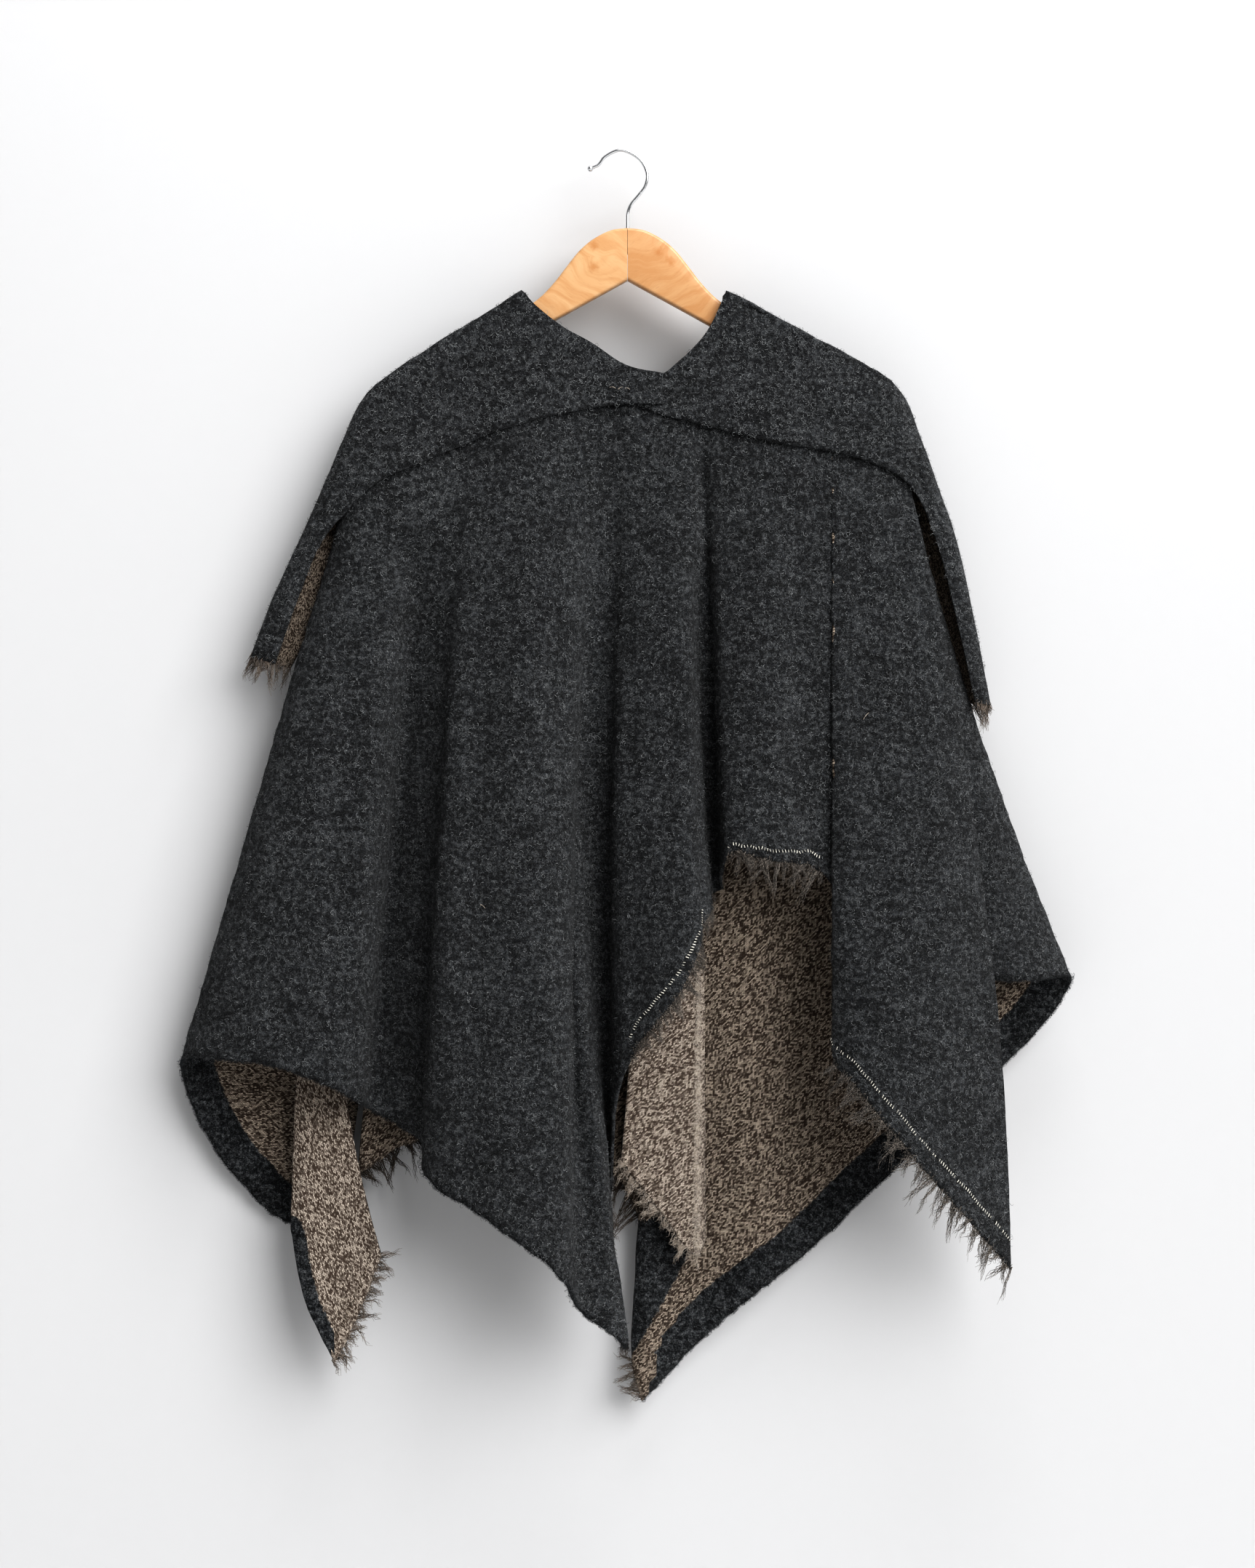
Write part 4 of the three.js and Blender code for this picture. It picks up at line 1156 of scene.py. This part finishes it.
def ridge_roots(grid, column, spacing, rng):
    """Places along a fold line of a grid, on the side that is turned to the front."""
    for upper, lower in zip(grid, grid[1:]):
        down = lower[column] - upper[column]
        across = upper[column + 1] - upper[column - 1]
        out = down.cross(across).normalized()
        out = out if out.y < 0 else -out
        for _ in range(round(down.length / spacing)):
            side = across.normalized() * rng.gauss(0, 1.6)
            yield upper[column] + down * rng.random() + side + out * (WALL / 2), out, down.normalized()


def hairs(name, roots, rng, material):
    """Curled hairs as narrow ribbons in one mesh, one from each root."""
    points, faces = [], []
    for root, out, along in roots:
        turn = rng.uniform(0, FULL_TURN)
        a = along * math.cos(turn) + out.cross(along) * math.sin(turn)
        b = out.cross(a)
        size, sweep = rng.uniform(0.8, 2.2), rng.uniform(2.0, 5.4)
        lift, stretch = rng.uniform(0.3, 1.9), rng.uniform(0.0, 1.8)
        first = len(points)
        for k in range(HAIR_STEPS + 1):
            u = k / HAIR_STEPS
            swing = sweep * u
            away = a * (size * math.sin(swing) + stretch * u) + b * (size * (1 - math.cos(swing)))
            middle = root + out * (lift * math.sin(math.pi * min(u * 1.15, 1))) + away
            side = (b * math.cos(swing) - a * math.sin(swing)) * (HAIR_WIDTH * (1 - 0.55 * u) / 2)
            points += [(middle - side) * MM, (middle + side) * MM]
        for k in range(HAIR_STEPS):
            at = first + 2 * k
            faces.append((at, at + 1, at + 3, at + 2))
    mesh = bpy.data.meshes.new(name)
    mesh.from_pydata(points, [], faces)
    mesh.shade_smooth()
    made = piece(name, mesh)
    mesh.materials.append(material)
    return made


HAIR_WIDTH = 0.36
HAIR_STEPS = 5
RIDGE_SPACING = 0.16
EDGE_SPACING = 0.30
HAIR = fray_material("loose_hair", (0.020, 0.021, 0.023), (0.085, 0.090, 0.095), (0.40, 0.41, 0.41))
DARK_HAIR = fray_material("dark_hair", (0.006, 0.006, 0.007), (0.025, 0.027, 0.030), (0.10, 0.105, 0.11))
HAIR_SHARE = 1.0
# Pale hairs for the pleat's ridge, lighter than the loose hair: partly real fuzz, partly a painted highlight
# where the ridge catches the light.
PALE_HAIR_HIGHLIGHT = fray_material("pale_hair_highlight", (0.16, 0.13, 0.11), (0.42, 0.36, 0.30), (0.74, 0.68, 0.60))
dice = random.Random(201)
hairs_front, hairs_back, hairs_left, hairs_right = (
    hairs(name, face_roots(grids, round(count * HAIR_SHARE), dice), dice, HAIR)
    for name, grids, count in (("hairs_front", [front_grid], 17500), ("hairs_back", [back_grid], 12500),
                               ("hairs_left", left_grids, 3600), ("hairs_right", right_grids, 3600)))
# Fuzz along the pleat's ridge: real hairs whose pale colour paints the ridge's highlight.
pleat_ridge = column_of(pleat_grid, PLEAT, "pleat ridge")
fuzz_pleat_highlight = hairs("fuzz_pleat_highlight", ridge_roots(pleat_grid, pleat_ridge, RIDGE_SPACING / HAIR_SHARE, dice), dice,
                   PALE_HAIR_HIGHLIGHT)
fuzz_front, fuzz_back = (
    hairs(name, edge_roots(grid, range(0, selvedge[-1]), EDGE_SPACING / HAIR_SHARE, dice), dice, DARK_HAIR)
    for name, grid, selvedge in (("fuzz_front", front_grid, front_selvedge),
                                 ("fuzz_back", back_grid, back_selvedge)))


# Wall, floor, light and camera of the picture.
def stage_plane(name, size, place, turn, color):
    """A flat pale board, seen from its front side alone."""
    shape = bmesh.new()
    bmesh.ops.create_grid(shape, x_segments=1, y_segments=1, size=size / 2)
    mesh = mesh_of(name, shape)
    made = bpy.data.objects.new(name, mesh)
    made.location = place
    made.rotation_euler = (turn, 0, 0)
    scene.collection.objects.link(made)
    board, tree, shader = finish(name, color, 0.9, Specular_IOR_Level=0.1)
    clear = put(tree, "ShaderNodeBsdfTransparent")
    behind = put(tree, "ShaderNodeNewGeometry").outputs["Backfacing"]
    choice = put(tree, "ShaderNodeMixShader", {0: behind, 1: shader.outputs[0], 2: clear.outputs[0]})
    tree.links.new(choice.outputs[0], tree.nodes["Material Output"].inputs["Surface"])
    mesh.materials.append(board)


def soft_light(name, place, target, size, power):
    """A large square studio light."""
    lamp = bpy.data.lights.new(name, "AREA")
    lamp.shape = "SQUARE"
    lamp.size = size
    lamp.energy = power
    made = bpy.data.objects.new(name, lamp)
    made.location = place
    made.rotation_euler = (Vector(target) - Vector(place)).to_track_quat("-Z", "Y").to_euler()
    scene.collection.objects.link(made)


WALL_PLACE = 0.044
FLOOR_HEIGHT = -1.75
STAGE_SIZE = 12.0
stage_plane("wall", STAGE_SIZE, (0, WALL_PLACE, 0), math.radians(90), (0.585, 0.585, 0.59))
stage_plane("floor", STAGE_SIZE, (0, -2.0, FLOOR_HEIGHT), 0.0, (0.80, 0.80, 0.80))
soft_light("key_light", (9.6, -12.4, 8.4), (0.0, 0.0, -0.5), 14.0, 3500.0)
soft_light("top_light", (0.25, -0.6, 1.2), (0.05, 0.0, -0.3), 0.8, 11.0)
world = bpy.data.worlds.new("studio")
world.use_nodes = True
ambient = world.node_tree.nodes["Background"].inputs
ambient["Color"].default_value = (1.0, 1.0, 1.0, 1.0)
ambient["Strength"].default_value = 0.17
scene.world = world
scene.view_settings.view_transform = "Standard"
scene.view_settings.look = "High Contrast"

CAMERA_PLACE = (0.005, -2.6, -0.539)
LENS = 70.02
view = bpy.data.cameras.new("camera")
view.sensor_fit = "VERTICAL"
view.sensor_height = 36
view.lens = LENS
view.clip_end = 50
camera = bpy.data.objects.new("camera", view)
camera.location = CAMERA_PLACE
camera.rotation_euler = (math.radians(90), 0, 0)
scene.collection.objects.link(camera)
scene.camera = camera
